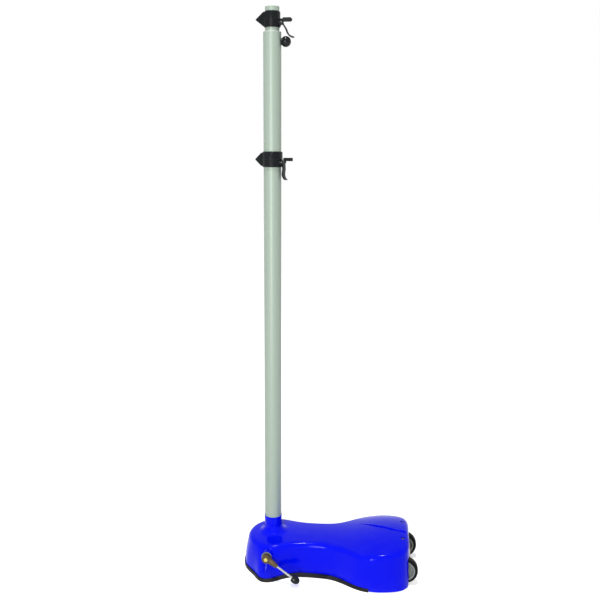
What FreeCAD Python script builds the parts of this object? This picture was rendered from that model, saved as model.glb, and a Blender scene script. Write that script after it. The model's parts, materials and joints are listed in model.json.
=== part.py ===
"""Free-standing telescopic net post on a weighted base with two transport wheels.

Frame: +Z is the mast axis, the origin lies where it meets the floor, +X runs from
the mast to the wheels, and the clamp lever of the base is on the -Y side.
Millimetres throughout.
"""
import FreeCAD, Part
import math
import os

from FreeCAD import Placement, Rotation, Vector

# ---------------------------------------------------------------- mast
MAIN_TUBE_OD = 48.0
MAIN_TUBE_WALL = 2.5
MAIN_TUBE_TOP = 1517.0
INNER_TUBE_OD = 38.0
INNER_TUBE_WALL = 2.0
INNER_TUBE_PROUD = 10.5    # length of the inner tube above the top collar
INNER_TUBE_LENGTH = 1330.0
PLUG_FLANGE = 3.0          # thickness of every tube plug's flange
FOOT_PLUG_LENGTH = 28.0
INNER_PLUG_LENGTH = 28.0
INNER_GLIDE_HEIGHT = 16.0
TOP_PLUG_LENGTH = 14.0
GUIDE_BUSH_LENGTH = 14.0
GUIDE_BUSH_FLANGE = 1.5

# ---------------------------------------------------------------- clearances
SLIDE_GAP = 0.4            # radial gap of tubes that slide in or through a piece
PAD_GAP = 0.3              # gap between a clamping pad and the tube it grips
RUNNING_GAP = 0.06         # radial gap of a turning shaft in its bore
FIXED_GAP = 0.1            # radial gap of a fixed pin, screw or stud in its hole
FACE_GAP = 0.4             # gap between flat faces that turn against each other
HOLE_GAP = 1.0             # radial gap of a shaft that passes a wall untouched

# ---------------------------------------------------------------- base: mat, plate and ballast
MAT_THICKNESS = 10.0
PLATE_THICKNESS = 6.0
BALLAST_SLAB = 34.0        # thickness of each of the two cast slabs
BALLAST_GAP = 4.0          # gap from a slab to the cover's inner face
BALLAST_REAR_X = 322.0
BALLAST_BORE_R = 50.0      # opening in the slabs for the mast socket
BALLAST_STUD_R = 6.0
BALLAST_STUD_X = (112.0, 258.0)
NUT_HEIGHT = 9.0
NUT_R = 10.5               # corner radius of the ballast nuts
MAT_SCREW_R = 3.0
MAT_SCREW_HEAD_R = 6.0
MAT_SCREW_HEAD = 4.0
MAT_SCREW_COVER = 2.0      # depth of the head below the mat's underside
MAT_SCREWS = ((-58.0, 0.0), (40.0, 62.0), (40.0, -62.0), (240.0, 88.0), (240.0, -88.0), (330.0, 0.0))

# ---------------------------------------------------------------- base: cover
# Half plan of the cover: x and y where it meets the floor, x and y at its shoulder,
# and how far the mat stands out beyond it there.
COVER_STATIONS = (
    (-84.0, 0.0, -69.0, 0.0, 2.0),
    (-81.0, 23.0, -66.5, 19.0, 2.0),
    (-73.0, 44.0, -61.0, 36.0, 2.5),
    (-59.0, 64.0, -53.0, 50.0, 3.0),
    (-38.0, 89.0, -39.0, 64.0, 3.5),
    (-16.0, 112.0, -17.0, 77.0, 4.0),
    (6.0, 112.0, 10.0, 81.0, 4.0),
    (32.0, 95.5, 36.0, 78.0, 5.0),
    (62.0, 77.5, 64.0, 71.5, 7.0),
    (100.0, 70.0, 100.0, 66.5, 8.0),
    (146.0, 70.0, 146.0, 67.0, 8.0),
    (182.0, 75.5, 182.0, 72.5, 7.0),
    (215.0, 92.0, 215.0, 88.0, 5.0),
    (245.0, 112.5, 246.0, 108.0, 3.0),
    (280.0, 127.5, 281.0, 122.5, 2.0),
    (315.0, 130.5, 315.0, 125.5, 1.0),
    (350.0, 125.5, 349.0, 120.5, 0.0),
    (380.0, 114.5, 377.0, 110.0, 0.0),
    (399.0, 94.0, 395.0, 91.0, 0.0),
    (406.0, 62.0, 402.0, 60.0, 0.0),
    (406.5, 30.0, 402.5, 29.0, 0.0),
    (406.0, 0.0, 402.0, 0.0, 0.0),
)
# Height above the floor and share of the way from the floor outline to the shoulder's.
COVER_DRAFT = ((2.0, 0.0), (60.0, 0.4), (100.0, 1.0), (140.0, 1.75))
# Length along the base, height of the top's ridge and its fall at CROWN_HALF to each side.
COVER_CROWN = (
    (-130.0, 94.0, 22.0),
    (-60.0, 98.0, 22.0),
    (0.0, 102.5, 24.0),
    (80.0, 104.0, 24.0),
    (150.0, 105.0, 26.0),
    (230.0, 112.0, 30.0),
    (310.0, 128.0, 34.0),
    (410.0, 128.0, 34.0),
    (450.0, 126.0, 34.0),
)
CROWN_HALF = 150.0
COVER_WALL = 6.0
COVER_ROUNDING = 16.0      # radius between the flanks and the top
SKIRT_X = 290.0            # behind this the cover's skirt hides the mat's edge
NECK_TOP = 152.5
NECK_OD = 50.8
NECK_ROUNDING = 23.0
GROOVE_PLAN = ((254.0, 46.0), (354.0, -30.0), (420.0, -24.0), (420.0, -18.0), (351.0, -5.0))
GROOVE_DEPTH = 3.0
POST_X = 383.0
POST_Y = 48.0
POST_R = 6.0
POST_BOSS_R = 9.0
POST_BOSS_BOTTOM = 112.0
COVER_SCREW_R = 2.5
COVER_SCREW_HEAD_R = 4.6
COVER_SCREW_HEAD = 2.6
COVER_SCREW_LENGTH = 26.0
COVER_SCREW_SEAT = 123.5   # height of the recessed seat
COVER_RECESS_R = 6.5

# ---------------------------------------------------------------- base: mast socket
SOCKET_WALL = 5.0
SOCKET_TOP = 93.0
SOCKET_FLANGE_R = 46.0
SOCKET_FLANGE = 8.0
GUSSET_THICKNESS = 5.0
GUSSET_TOP = 72.0
GUSSET_ANGLES = (0.0, 90.0, 180.0)
SOCKET_BOLT_CIRCLE_R = 38.0
SOCKET_BOLT_ANGLES = (45.0, 135.0, 225.0, 315.0)
SOCKET_BOLT_R = 4.0
BOLT_HEAD_R = 6.8          # corner radius of the M8 heads
BOLT_HEAD = 5.3
FOOT_PAD = 4.0             # rubber pad under the mast

# ---------------------------------------------------------------- base: clamp lever
LEVER_X = -3.0
LEVER_Z = 72.0
CLAMP_PAD_R = 7.0
CLAMP_PAD_END = 44.0       # distance from the mast axis to the pad's outer end
CLAMP_BOSS_R = 12.0
CLAMP_BOSS_END = 58.0
SPINDLE_R = 6.0
LEVER_SEAT = 103.0         # distance from the mast axis to the cover's flat lever seat
LEVER_SEAT_R = 17.0
LEVER_WASHER_R = 15.0
LEVER_WASHER = 2.0
HUB_R = 12.0
HUB_THICKNESS = 14.0
HUB_NECK_BREADTH = 11.5    # half breadth of the hub's neck at its root
HUB_NECK_DEPTH = 5.4       # half its depth there
HUB_NECK_END_R = 6.2
HUB_NECK_LENGTH = 38.0
HUB_SCREW_R = 5.0
HUB_SCREW_HEAD = 3.0
HUB_SCREW_SHANK_R = 2.5
HUB_SCREW_SHANK = 10.0
LEVER_REACH = Vector(86.5, -15.0, -52.0)   # from the hub's centre to the knob's centre
LEVER_ROD_R = 3.2
LEVER_ROD_SOCKET = 10.0    # how deep the rod sits in the hub's neck and in the knob
LEVER_KNOB_R = 11.5
LEVER_KNOB_LENGTH = 25.0

# ---------------------------------------------------------------- wheels
WHEEL_R = 37.5
WHEEL_X = 390.0
WHEEL_Z = 44.0             # the tyres clear the floor until the post is tipped back
WHEEL_Y = 72.0
WHEEL_WIDTH = 23.0
TYRE_DEPTH = 8.0
TYRE_ROUNDING = 5.0
HUB_DISC = 6.0             # thickness of the wheel's web
HUB_RIM = 4.0
HUB_BOSS_R = 13.0
BUSH_R = 8.5
AXLE_R = 6.0
AXLE_CAP_R = 9.0
AXLE_CAP_LENGTH = 3.2
AXLE_CAP_WALL = 1.2
SPACER_R = 10.0
WHEEL_SLOT_GAP = 4.0
BRACKET_PLATE = 4.0
BRACKET_HALF = 56.0        # half the width over the cheeks
BRACKET_FRONT_X = 340.0
CHEEK_FRONT_X = 368.0
BRACKET_REAR_X = 407.0
BRACKET_TOP = 62.0
BRACKET_TAB = 18.0
WINDOW_TOP = 68.0          # top of the opening in the cover behind the bracket
BRACKET_BOLTS = ((350.0, 36.0), (350.0, -36.0), (384.0, 0.0))

# ---------------------------------------------------------------- height clamp with the ball knob
BALL_DROP = 23.0           # from the main tube's top to the knob's axis
BALL_R = 14.0
BALL_CENTRE = 36.0         # distance from the mast axis
INSERT_R = 7.0
INSERT_FLANGE_R = 9.0
INSERT_FLANGE = 3.5
KNOB_SCREW_R = 4.0
KNOB_TIP_R = 3.5
KNOB_TIP_END = 24.0

# ---------------------------------------------------------------- net collars
TOP_COLLAR_GAP = 10.0      # from the guide bush to the top collar
TOP_COLLAR_R = 21.5
TOP_COLLAR_HEIGHT = 41.0
TOP_LEVER_OPEN = 30.0      # degrees from hanging straight down
TOP_GRIP_ROLL = 0.0
MIDDLE_COLLAR_Z = 1190.0
MIDDLE_COLLAR_R = 27.5
MIDDLE_COLLAR_HEIGHT = 41.5
MIDDLE_COLLAR_TURN = -13.0
MIDDLE_LEVER_OPEN = 0.0
MIDDLE_GRIP_ROLL = 90.0
COLLAR_CHAMFER = 2.0
HORN_LENGTH = 21.5
HORN_HALF_HEIGHT = 17.5
HORN_ROOT_HALF_WIDTH = 14.0
HORN_TIP_HALF_WIDTH = 3.5
HORN_TIP_HALF_HEIGHT = 1.2
RIDGE_HEIGHT = 1.0
RIDGE_DEPTH = 0.5
CORD_MARK_WIDTH = 11.0
CORD_MARK_DEPTH = 17.0
CORD_MARK_RIB = 2.0
CORD_MARK_PROUD = 1.0
PIVOT_OUT = 4.2            # pivot's distance from the collar's face
PIVOT_DROP = 7.4           # and below its mid-height
CAM_R = 3.3
PIVOT_PIN_R = 1.3
LUG_THICKNESS = 3.6
LUG_R = 3.9
COLLAR_PAD_HALF = 8.0
COLLAR_PAD_TOP = -4.2
COLLAR_PAD_BOTTOM = -16.0
COLLAR_PAD_PROUD = 0.7
BLADE_HALF = 9.0           # half the lever's breadth
BLADE_THICKNESS = 4.0
# Centre line of the lever's blade, hanging down: distance outwards and downwards from the pivot.
BLADE_LINE = ((1.2, 2.0), (1.2, 10.0), (1.6, 20.0), (0.4, 29.0), (1.0, 37.0), (4.4, 43.5), (8.8, 47.5))
STUD_R = 3.0
STUD_DEPTH = 1.8           # how far the stud is screwed into the collar's wall
GRIP_START = 6.7           # grip's distance from the collar's face
GRIP_LENGTH = 24.5
GRIP_HEIGHT = 10.4
GRIP_WIDTH = 9.0
GRIP_SOCKET = 12.0

# ---------------------------------------------------------------- derived sizes
MAIN_R = MAIN_TUBE_OD / 2
MAIN_BORE_R = MAIN_R - MAIN_TUBE_WALL
INNER_R = INNER_TUBE_OD / 2
INNER_BORE_R = INNER_R - INNER_TUBE_WALL
PLATE_TOP = MAT_THICKNESS + PLATE_THICKNESS
BALLAST_MIDDLE = PLATE_TOP + BALLAST_SLAB
BALLAST_TOP = BALLAST_MIDDLE + BALLAST_SLAB
SOCKET_BORE_R = MAIN_R + SLIDE_GAP
SOCKET_R = SOCKET_BORE_R + SOCKET_WALL
MAST_FOOT = PLATE_TOP + FOOT_PAD
MAIN_TUBE_FOOT = MAST_FOOT + PLUG_FLANGE
BALL_Z = MAIN_TUBE_TOP - BALL_DROP
TOP_COLLAR_Z = MAIN_TUBE_TOP + GUIDE_BUSH_FLANGE + TOP_COLLAR_GAP + TOP_COLLAR_HEIGHT / 2
INNER_TUBE_TOP = TOP_COLLAR_Z + TOP_COLLAR_HEIGHT / 2 + INNER_TUBE_PROUD
INNER_TUBE_FOOT = INNER_TUBE_TOP - INNER_TUBE_LENGTH
HUB_BACK = LEVER_SEAT + LEVER_WASHER + FACE_GAP
HUB_FRONT = HUB_BACK + HUB_THICKNESS
WHEEL_INNER = WHEEL_Y - WHEEL_WIDTH / 2
WHEEL_OUTER = WHEEL_Y + WHEEL_WIDTH / 2
RIM_R = WHEEL_R - TYRE_DEPTH
SLOT_R = WHEEL_R + WHEEL_SLOT_GAP
Z_AXIS = Vector(0, 0, 1)


# ---------------------------------------------------------------- helpers
def cylinder(radius, start, end):
    """Solid cylinder from one point to another."""
    axis = end - start
    return Part.makeCylinder(radius, axis.Length, start, axis)


def ring(outer, inner, bottom, top):
    """Tube about the mast axis."""
    outside = cylinder(outer, Vector(0, 0, bottom), Vector(0, 0, top))
    return outside.cut(cylinder(inner, Vector(0, 0, bottom - 1), Vector(0, 0, top + 1)))


def box(x, y, z):
    """Box from three (low, high) pairs."""
    return Part.makeBox(x[1] - x[0], y[1] - y[0], z[1] - z[0], Vector(x[0], y[0], z[0]))


def prism(points, rise):
    """Solid over a closed polygon."""
    return Part.Face(Part.makePolygon(points + points[:1])).extrude(rise)


def hexagon(radius, centre, rise):
    """Hexagonal head or nut standing on its centre point."""
    steps = [math.radians(60 * i) for i in range(6)]
    corners = [centre + Vector(radius * math.cos(a), radius * math.sin(a), 0) for a in steps]
    return prism(corners, Vector(0, 0, rise))


def turned(profile, start, axis):
    """Solid of revolution from (distance along the axis, radius) points."""
    points = [Vector(r, 0, s) for s, r in profile]
    solid = Part.Face(Part.makePolygon(points + points[:1])).revolve(Vector(), Z_AXIS, 360)
    solid.Placement = Placement(start, Rotation(Z_AXIS, axis))
    return solid


def at(solid, x, y, z):
    """Copy of a solid, moved."""
    return solid.translated(Vector(x, y, z))


def polar(radius, degrees, z):
    """Point at an angle about the mast axis."""
    angle = math.radians(degrees)
    return Vector(radius * math.cos(angle), radius * math.sin(angle), z)


def group(solids):
    """Separate solids of one node."""
    return Part.makeCompound(solids)


# ---------------------------------------------------------------- cover form
def moved_out(points, distances):
    """Closed outline with each point moved outwards, square to its neighbours' line."""
    result = []
    for i, (x, y) in enumerate(points):
        before = points[i - 1]
        after = points[(i + 1) % len(points)]
        run = (after[0] - before[0], after[1] - before[1])
        length = math.hypot(*run)
        step = distances[i] / length
        result.append((x - run[1] * step, y + run[0] * step))
    return result


def base_outline(share, outwards):
    """Closed plan outline between the floor line (share 0) and the shoulder (share 1)."""
    half = [(x0 + share * (x1 - x0), y0 + share * (y1 - y0)) for x0, y0, x1, y1, _ in COVER_STATIONS]
    mirrored = [(x, -y) for x, y in reversed(half[1:-1])]
    distances = outwards + outwards[-2:0:-1]
    return moved_out(half + mirrored, distances)


def smooth_wire(points, z):
    """Closed smooth wire through plan points at one height."""
    curve = Part.BSplineCurve()
    curve.interpolate(Points=[Vector(x, y, z) for x, y in points], PeriodicFlag=True)
    return Part.Wire([curve.toShape()])


def crown_section(x, ridge, fall):
    """Cross-section of everything below the cover's crowned top."""
    left = Vector(x, -CROWN_HALF, ridge - fall)
    right = Vector(x, CROWN_HALF, ridge - fall)
    low_left = Vector(x, -CROWN_HALF, -CROWN_HALF)
    low_right = Vector(x, CROWN_HALF, -CROWN_HALF)
    arc = Part.Arc(left, Vector(x, 0, ridge), right).toShape()
    sides = [Part.makeLine(right, low_right), Part.makeLine(low_right, low_left), Part.makeLine(low_left, left)]
    return Part.Wire([arc] + sides)


def cover_form(inset):
    """Closed body of the cover without its neck, shrunk by an inset on every side."""
    inwards = [-inset] * len(COVER_STATIONS)
    outlines = [smooth_wire(base_outline(share, inwards), z) for z, share in COVER_DRAFT]
    flanks = Part.makeLoft(outlines, True, False)
    sections = [crown_section(x, ridge - inset, fall) for x, ridge, fall in COVER_CROWN]
    body = flanks.common(Part.makeLoft(sections, True, False)).Solids[0]
    lowest_crown = min(ridge - fall for _, ridge, fall in COVER_CROWN) - inset
    shoulder = [e for e in body.Edges if e.BoundBox.ZMin > lowest_crown - COVER_WALL]
    return body.makeFillet(max(COVER_ROUNDING - inset, COVER_WALL), shoulder)


def wheel_slots():
    """Space around both wheels, open to the floor and to the rear."""
    solids = []
    for side in (-1, 1):
        low, high = sorted((side * (WHEEL_INNER - WHEEL_SLOT_GAP), side * (WHEEL_OUTER + WHEEL_SLOT_GAP)))
        solids.append(cylinder(SLOT_R, Vector(WHEEL_X, low, WHEEL_Z), Vector(WHEEL_X, high, WHEEL_Z)))
        below = box((WHEEL_X - SLOT_R, WHEEL_X + SLOT_R), (low, high), (-1, WHEEL_Z))
        behind = box((WHEEL_X, WHEEL_X + SLOT_R), (low, high), (-1, WHEEL_Z + SLOT_R * 0.86))
        solids.append(below)
        solids.append(behind)
    return group(solids)


def hollowed(outer, inner):
    """Outer body with the inner one as its hollow, open at the plane where both stand."""
    foot = outer.BoundBox.ZMin
    open_edge = []
    faces = []
    for body in (outer, inner):
        for face in body.Faces:
            if face.BoundBox.ZMax < foot + FIXED_GAP:
                open_edge.append(face.OuterWire)
            else:
                faces.append(face)
    shell = Part.Shell(faces + [Part.Face(open_edge)])
    shell.sewShape()
    return Part.Solid(shell)


def cover_outside():
    """Solid outside form of the cover: crowned body, groove, neck and the lever's seat."""
    body = cover_form(0)
    lowered = Part.makeLoft([crown_section(x, ridge - GROOVE_DEPTH, fall) for x, ridge, fall in COVER_CROWN],
                            True, False)
    groove = prism([Vector(x, y, 0) for x, y in GROOVE_PLAN], Vector(0, 0, NECK_TOP))
    body = body.cut(groove.cut(lowered))
    body = body.fuse(cylinder(NECK_OD / 2, Vector(0, 0, SOCKET_TOP - COVER_WALL), Vector(0, 0, NECK_TOP)))
    body = body.makeFillet(NECK_ROUNDING, [e for e in body.Edges if is_neck_root(e)])
    flat = Vector(LEVER_X, -LEVER_SEAT, LEVER_Z)
    return body.fuse(cylinder(LEVER_SEAT_R, flat + Vector(0, 3 * COVER_WALL, 0), flat))


def base_cover():
    """Blue cover: hollow shell with the mast's, the lever's, the screws' and the wheels' openings."""
    shell = hollowed(cover_outside(), cover_form(COVER_WALL))
    seats = [Vector(POST_X, side * POST_Y, COVER_SCREW_SEAT) for side in (-1, 1)]
    up = Vector(0, 0, NECK_TOP)
    shell = shell.fuse([cylinder(POST_BOSS_R, Vector(p.x, p.y, POST_BOSS_BOTTOM), p) for p in seats])
    openings = [cylinder(MAIN_R + SLIDE_GAP, Vector(), up + Z_AXIS)]
    openings.append(cylinder(SPINDLE_R + HOLE_GAP, Vector(LEVER_X, -LEVER_SEAT - 1, LEVER_Z),
                             Vector(LEVER_X, -CLAMP_BOSS_END, LEVER_Z)))
    openings.extend(cylinder(COVER_RECESS_R, p, p + up) for p in seats)
    openings.extend(cylinder(COVER_SCREW_R + FIXED_GAP, p - up, p) for p in seats)
    inner = WHEEL_INNER - WHEEL_SLOT_GAP + 1
    openings.append(box((WHEEL_X, WHEEL_X + SLOT_R), (-inner, inner), (-1, WINDOW_TOP)))
    openings.append(box((-2 * SKIRT_X, SKIRT_X), (-SKIRT_X, SKIRT_X), (-1, MAT_THICKNESS)))
    return shell.cut(openings).cut(wheel_slots())


def is_neck_root(edge):
    """Whether an edge runs round the foot of the cover's neck."""
    if edge.Length < NECK_OD / 2:
        return False
    points = edge.discretize(5)
    on_neck = all(abs(math.hypot(p.x, p.y) - NECK_OD / 2) < 0.1 for p in points)
    return on_neck and all(SOCKET_TOP < p.z < NECK_TOP - NECK_ROUNDING for p in points)


# ---------------------------------------------------------------- base pieces
def mat_screw_holes(radius):
    """Holes through mat and plate."""
    return group([cylinder(radius, Vector(x, y, -1), Vector(x, y, PLATE_TOP + 1)) for x, y in MAT_SCREWS])


def base_mat():
    """Rubber mat under the whole base, wider than the cover at the waist."""
    overhang = [station[4] for station in COVER_STATIONS]
    outline = base_outline(0, overhang)
    full = Part.Face(smooth_wire(outline, 0)).extrude(Vector(0, 0, MAT_THICKNESS))
    step = SKIRT_X - FACE_GAP
    front = full.common(box((-2 * SKIRT_X, step), (-SKIRT_X, SKIRT_X), (-1, PLATE_TOP)))
    inwards = [-COVER_WALL - FACE_GAP] * len(COVER_STATIONS)
    inside = Part.Face(smooth_wire(base_outline(0, inwards), 0)).extrude(Vector(0, 0, MAT_THICKNESS))
    rear = inside.common(box((step - 1, 2 * SKIRT_X), (-SKIRT_X, SKIRT_X), (-1, PLATE_TOP)))
    mat = front.fuse(rear).removeSplitter()
    mat = mat.cut(wheel_slots())
    heads = [cylinder(MAT_SCREW_HEAD_R + FIXED_GAP, Vector(x, y, -1), Vector(x, y, MAT_SCREW_COVER + MAT_SCREW_HEAD))
             for x, y in MAT_SCREWS]
    return mat.cut(mat_screw_holes(MAT_SCREW_R + FIXED_GAP)).cut(group(heads))


def mat_screws():
    """Screws that hold the mat to the plate, heads sunk into the mat."""
    seat = MAT_SCREW_COVER + MAT_SCREW_HEAD
    solids = []
    for x, y in MAT_SCREWS:
        head = cylinder(MAT_SCREW_HEAD_R, Vector(x, y, MAT_SCREW_COVER), Vector(x, y, seat))
        solids.append(head.fuse(cylinder(MAT_SCREW_R, Vector(x, y, seat), Vector(x, y, PLATE_TOP))))
    return group(solids)


def base_plate():
    """Steel plate that carries the socket, the ballast and the axle bracket."""
    inside = cover_form(COVER_WALL + FACE_GAP)
    plate = inside.common(box((-2 * SKIRT_X, 2 * SKIRT_X), (-SKIRT_X, SKIRT_X), (MAT_THICKNESS, PLATE_TOP)))
    behind = box((BRACKET_REAR_X - BRACKET_PLATE, 2 * SKIRT_X), (-SKIRT_X, SKIRT_X), (0, PLATE_TOP + 1))
    plate = plate.cut(wheel_slots()).cut(behind)
    plate = plate.cut(mat_screw_holes(MAT_SCREW_R + FIXED_GAP))
    for x in BALLAST_STUD_X:
        plate = plate.cut(cylinder(BALLAST_STUD_R + FIXED_GAP, Vector(x, 0, 0), Vector(x, 0, PLATE_TOP + 1)))
    return plate.cut(bolt_holes())


def bolt_points():
    """Feet of the bolts through the socket flange and through the bracket."""
    socket = [polar(SOCKET_BOLT_CIRCLE_R, angle, MAT_THICKNESS) for angle in SOCKET_BOLT_ANGLES]
    bracket = [Vector(x, y, MAT_THICKNESS) for x, y in BRACKET_BOLTS]
    return socket, bracket


def bolt_holes():
    """Holes for those bolts."""
    socket, bracket = bolt_points()
    reach = Vector(0, 0, PLATE_THICKNESS + SOCKET_FLANGE)
    return group([cylinder(SOCKET_BOLT_R + FIXED_GAP, p, p + reach) for p in socket + bracket])


def hex_bolts(points, seat):
    """Hexagon bolts standing in the plate, heads on a seat height."""
    solids = []
    for p in points:
        shank = cylinder(SOCKET_BOLT_R, p, Vector(p.x, p.y, seat))
        solids.append(shank.fuse(hexagon(BOLT_HEAD_R, Vector(p.x, p.y, seat), BOLT_HEAD)))
    return group(solids)


def ballast_slab(bottom, top):
    """Cast slab that follows the cover's inside, open round the mast socket."""
    inside = cover_form(COVER_WALL + BALLAST_GAP)
    slab = inside.common(box((-2 * SKIRT_X, BALLAST_REAR_X), (-SKIRT_X, SKIRT_X), (bottom, top)))
    slab = slab.cut(cylinder(BALLAST_BORE_R, Vector(0, 0, 0), Vector(0, 0, NECK_TOP)))
    channel = CLAMP_BOSS_R + BALLAST_GAP
    slab = slab.cut(box((LEVER_X - channel, LEVER_X + channel), (-SKIRT_X, 0), (0, NECK_TOP)))
    for x in BALLAST_STUD_X:
        slab = slab.cut(cylinder(BALLAST_STUD_R + FIXED_GAP, Vector(x, 0, 0), Vector(x, 0, NECK_TOP)))
    for x, y in MAT_SCREWS:
        slab = slab.cut(cylinder(MAT_SCREW_R + HOLE_GAP, Vector(x, y, 0), Vector(x, y, PLATE_TOP + HOLE_GAP)))
    return slab


def ballast_studs():
    """Studs that hold the slabs down."""
    top = BALLAST_TOP + NUT_HEIGHT
    return group([cylinder(BALLAST_STUD_R, Vector(x, 0, MAT_THICKNESS), Vector(x, 0, top)) for x in BALLAST_STUD_X])


def ballast_nuts():
    """Nuts on those studs."""
    solids = []
    for x in BALLAST_STUD_X:
        nut = hexagon(NUT_R, Vector(x, 0, BALLAST_TOP), NUT_HEIGHT)
        solids.append(nut.cut(cylinder(BALLAST_STUD_R + FIXED_GAP, Vector(x, 0, 0), Vector(x, 0, NECK_TOP))))
    return group(solids)


def mast_socket():
    """Flanged steel tube that the mast stands in."""
    tube = ring(SOCKET_R, SOCKET_BORE_R, PLATE_TOP, SOCKET_TOP)
    flange = ring(SOCKET_FLANGE_R, SOCKET_BORE_R, PLATE_TOP, PLATE_TOP + SOCKET_FLANGE)
    window = cylinder(CLAMP_PAD_R + SLIDE_GAP, Vector(LEVER_X, 0, LEVER_Z), Vector(LEVER_X, -SOCKET_R - 1, LEVER_Z))
    return tube.fuse(flange).cut(window).cut(bolt_holes())


def socket_gussets():
    """Ribs between the socket's flange and its tube."""
    foot = PLATE_TOP + SOCKET_FLANGE
    half = GUSSET_THICKNESS / 2
    start = SOCKET_R - GUSSET_THICKNESS / 4
    profile = [Vector(start, -half, foot), Vector(SOCKET_FLANGE_R - 1, -half, foot),
               Vector(SOCKET_FLANGE_R - 1, -half, foot + GUSSET_THICKNESS), Vector(start, -half, GUSSET_TOP)]
    rib = prism(profile, Vector(0, GUSSET_THICKNESS, 0))
    rib = rib.cut(cylinder(SOCKET_R, Vector(0, 0, 0), Vector(0, 0, NECK_TOP)))
    return group([rib.rotated(Vector(), Z_AXIS, angle) for angle in GUSSET_ANGLES])


def clamp_boss():
    """Threaded boss welded to the socket, with the pad's bore at its inner end."""
    axis = Vector(LEVER_X, 0, LEVER_Z)
    boss = cylinder(CLAMP_BOSS_R, axis, axis - Vector(0, CLAMP_BOSS_END, 0))
    boss = boss.cut(cylinder(SOCKET_R, Vector(0, 0, 0), Vector(0, 0, NECK_TOP)))
    boss = boss.cut(cylinder(CLAMP_PAD_R + SLIDE_GAP, axis, axis - Vector(0, CLAMP_PAD_END + 2, 0)))
    return boss.cut(cylinder(SPINDLE_R + RUNNING_GAP, axis, axis - Vector(0, CLAMP_BOSS_END + 1, 0)))


def foot_pad():
    """Rubber disc that the mast rests on."""
    return cylinder(SOCKET_BORE_R - FIXED_GAP, Vector(0, 0, PLATE_TOP), Vector(0, 0, MAST_FOOT))


def cover_posts():
    """Posts on the bracket's tabs that the rear of the cover is screwed to."""
    solids = []
    for side in (-1, 1):
        foot = Vector(POST_X, side * POST_Y, BRACKET_TOP)
        post = cylinder(POST_R, foot, Vector(foot.x, foot.y, POST_BOSS_BOTTOM))
        bore = cylinder(COVER_SCREW_R + FIXED_GAP, foot + Vector(0, 0, 1), Vector(foot.x, foot.y, NECK_TOP))
        solids.append(post.cut(bore))
    return group(solids)


def cover_screws():
    """Screws in the recesses of the cover's top."""
    solids = []
    for side in (-1, 1):
        seat = Vector(POST_X, side * POST_Y, COVER_SCREW_SEAT)
        head = cylinder(COVER_SCREW_HEAD_R, seat, seat + Vector(0, 0, COVER_SCREW_HEAD))
        solids.append(head.fuse(cylinder(COVER_SCREW_R, seat - Vector(0, 0, COVER_SCREW_LENGTH), seat)))
    return group(solids)


# ---------------------------------------------------------------- clamp lever of the base
def lever_washer():
    """Grey collar ring between the cover's seat and the lever's hub."""
    seat = Vector(LEVER_X, -LEVER_SEAT, LEVER_Z)
    disc = cylinder(LEVER_WASHER_R, seat, seat - Vector(0, LEVER_WASHER, 0))
    return disc.cut(cylinder(SPINDLE_R + HOLE_GAP, seat + Vector(0, 1, 0), seat - Vector(0, LEVER_WASHER + 1, 0)))


def clamp_pad():
    """Pad that the spindle presses against the mast."""
    axis = Vector(LEVER_X, 0, LEVER_Z)
    pad = cylinder(CLAMP_PAD_R, axis, axis - Vector(0, CLAMP_PAD_END, 0))
    return pad.cut(cylinder(MAIN_R + PAD_GAP, Vector(0, 0, 0), Vector(0, 0, NECK_TOP)))


def clamp_spindle():
    """Threaded spindle from the pad to the lever's hub."""
    start = Vector(LEVER_X, -CLAMP_PAD_END, LEVER_Z)
    end = Vector(LEVER_X, -HUB_FRONT, LEVER_Z)
    bore = cylinder(HUB_SCREW_SHANK_R + FIXED_GAP, end, end + Vector(0, HUB_SCREW_SHANK + 1, 0))
    return cylinder(SPINDLE_R, start, end).cut(bore)


def hub_centre():
    """Middle of the lever's hub."""
    return Vector(LEVER_X, -(HUB_BACK + HUB_FRONT) / 2, LEVER_Z)


def lever_hub():
    """Cast hub with the tapered neck that holds the rod."""
    back = Vector(LEVER_X, -HUB_BACK, LEVER_Z)
    front = Vector(LEVER_X, -HUB_FRONT, LEVER_Z)
    arm = unit(LEVER_REACH)
    end = hub_centre() + arm * HUB_NECK_LENGTH
    across = unit(arm.cross(Vector(0, 1, 0)))
    root = Part.Ellipse(hub_centre() + across * HUB_NECK_BREADTH,
                        hub_centre() + across.cross(arm) * HUB_NECK_DEPTH, hub_centre()).toShape()
    tip = Part.Circle(end, arm, HUB_NECK_END_R).toShape()
    neck = Part.makeLoft([Part.Wire([root]), Part.Wire([tip])], True, True)
    hub = cylinder(HUB_R, back, front).fuse(neck).removeSplitter()
    hub = hub.cut(cylinder(SPINDLE_R + FIXED_GAP, back + Vector(0, 1, 0), front - Vector(0, 1, 0)))
    return hub.cut(cylinder(LEVER_ROD_R + FIXED_GAP, end - arm * LEVER_ROD_SOCKET, end + arm))


def unit(vector):
    """Unit vector along a vector."""
    return vector * (1 / vector.Length)


def hub_screw():
    """Brass screw that holds the hub on the spindle."""
    face = Vector(LEVER_X, -HUB_FRONT, LEVER_Z)
    head = cylinder(HUB_SCREW_R + 2 * FIXED_GAP, face, face - Vector(0, HUB_SCREW_HEAD, 0))
    return head.fuse(cylinder(HUB_SCREW_SHANK_R, face, face + Vector(0, HUB_SCREW_SHANK, 0)))


def lever_rod():
    """Steel rod between the hub's neck and the knob."""
    arm = unit(LEVER_REACH)
    knob_face = LEVER_REACH.Length - LEVER_KNOB_LENGTH / 2
    start = hub_centre() + arm * (HUB_NECK_LENGTH - LEVER_ROD_SOCKET)
    return cylinder(LEVER_ROD_R, start, hub_centre() + arm * (knob_face + LEVER_ROD_SOCKET))


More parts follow.
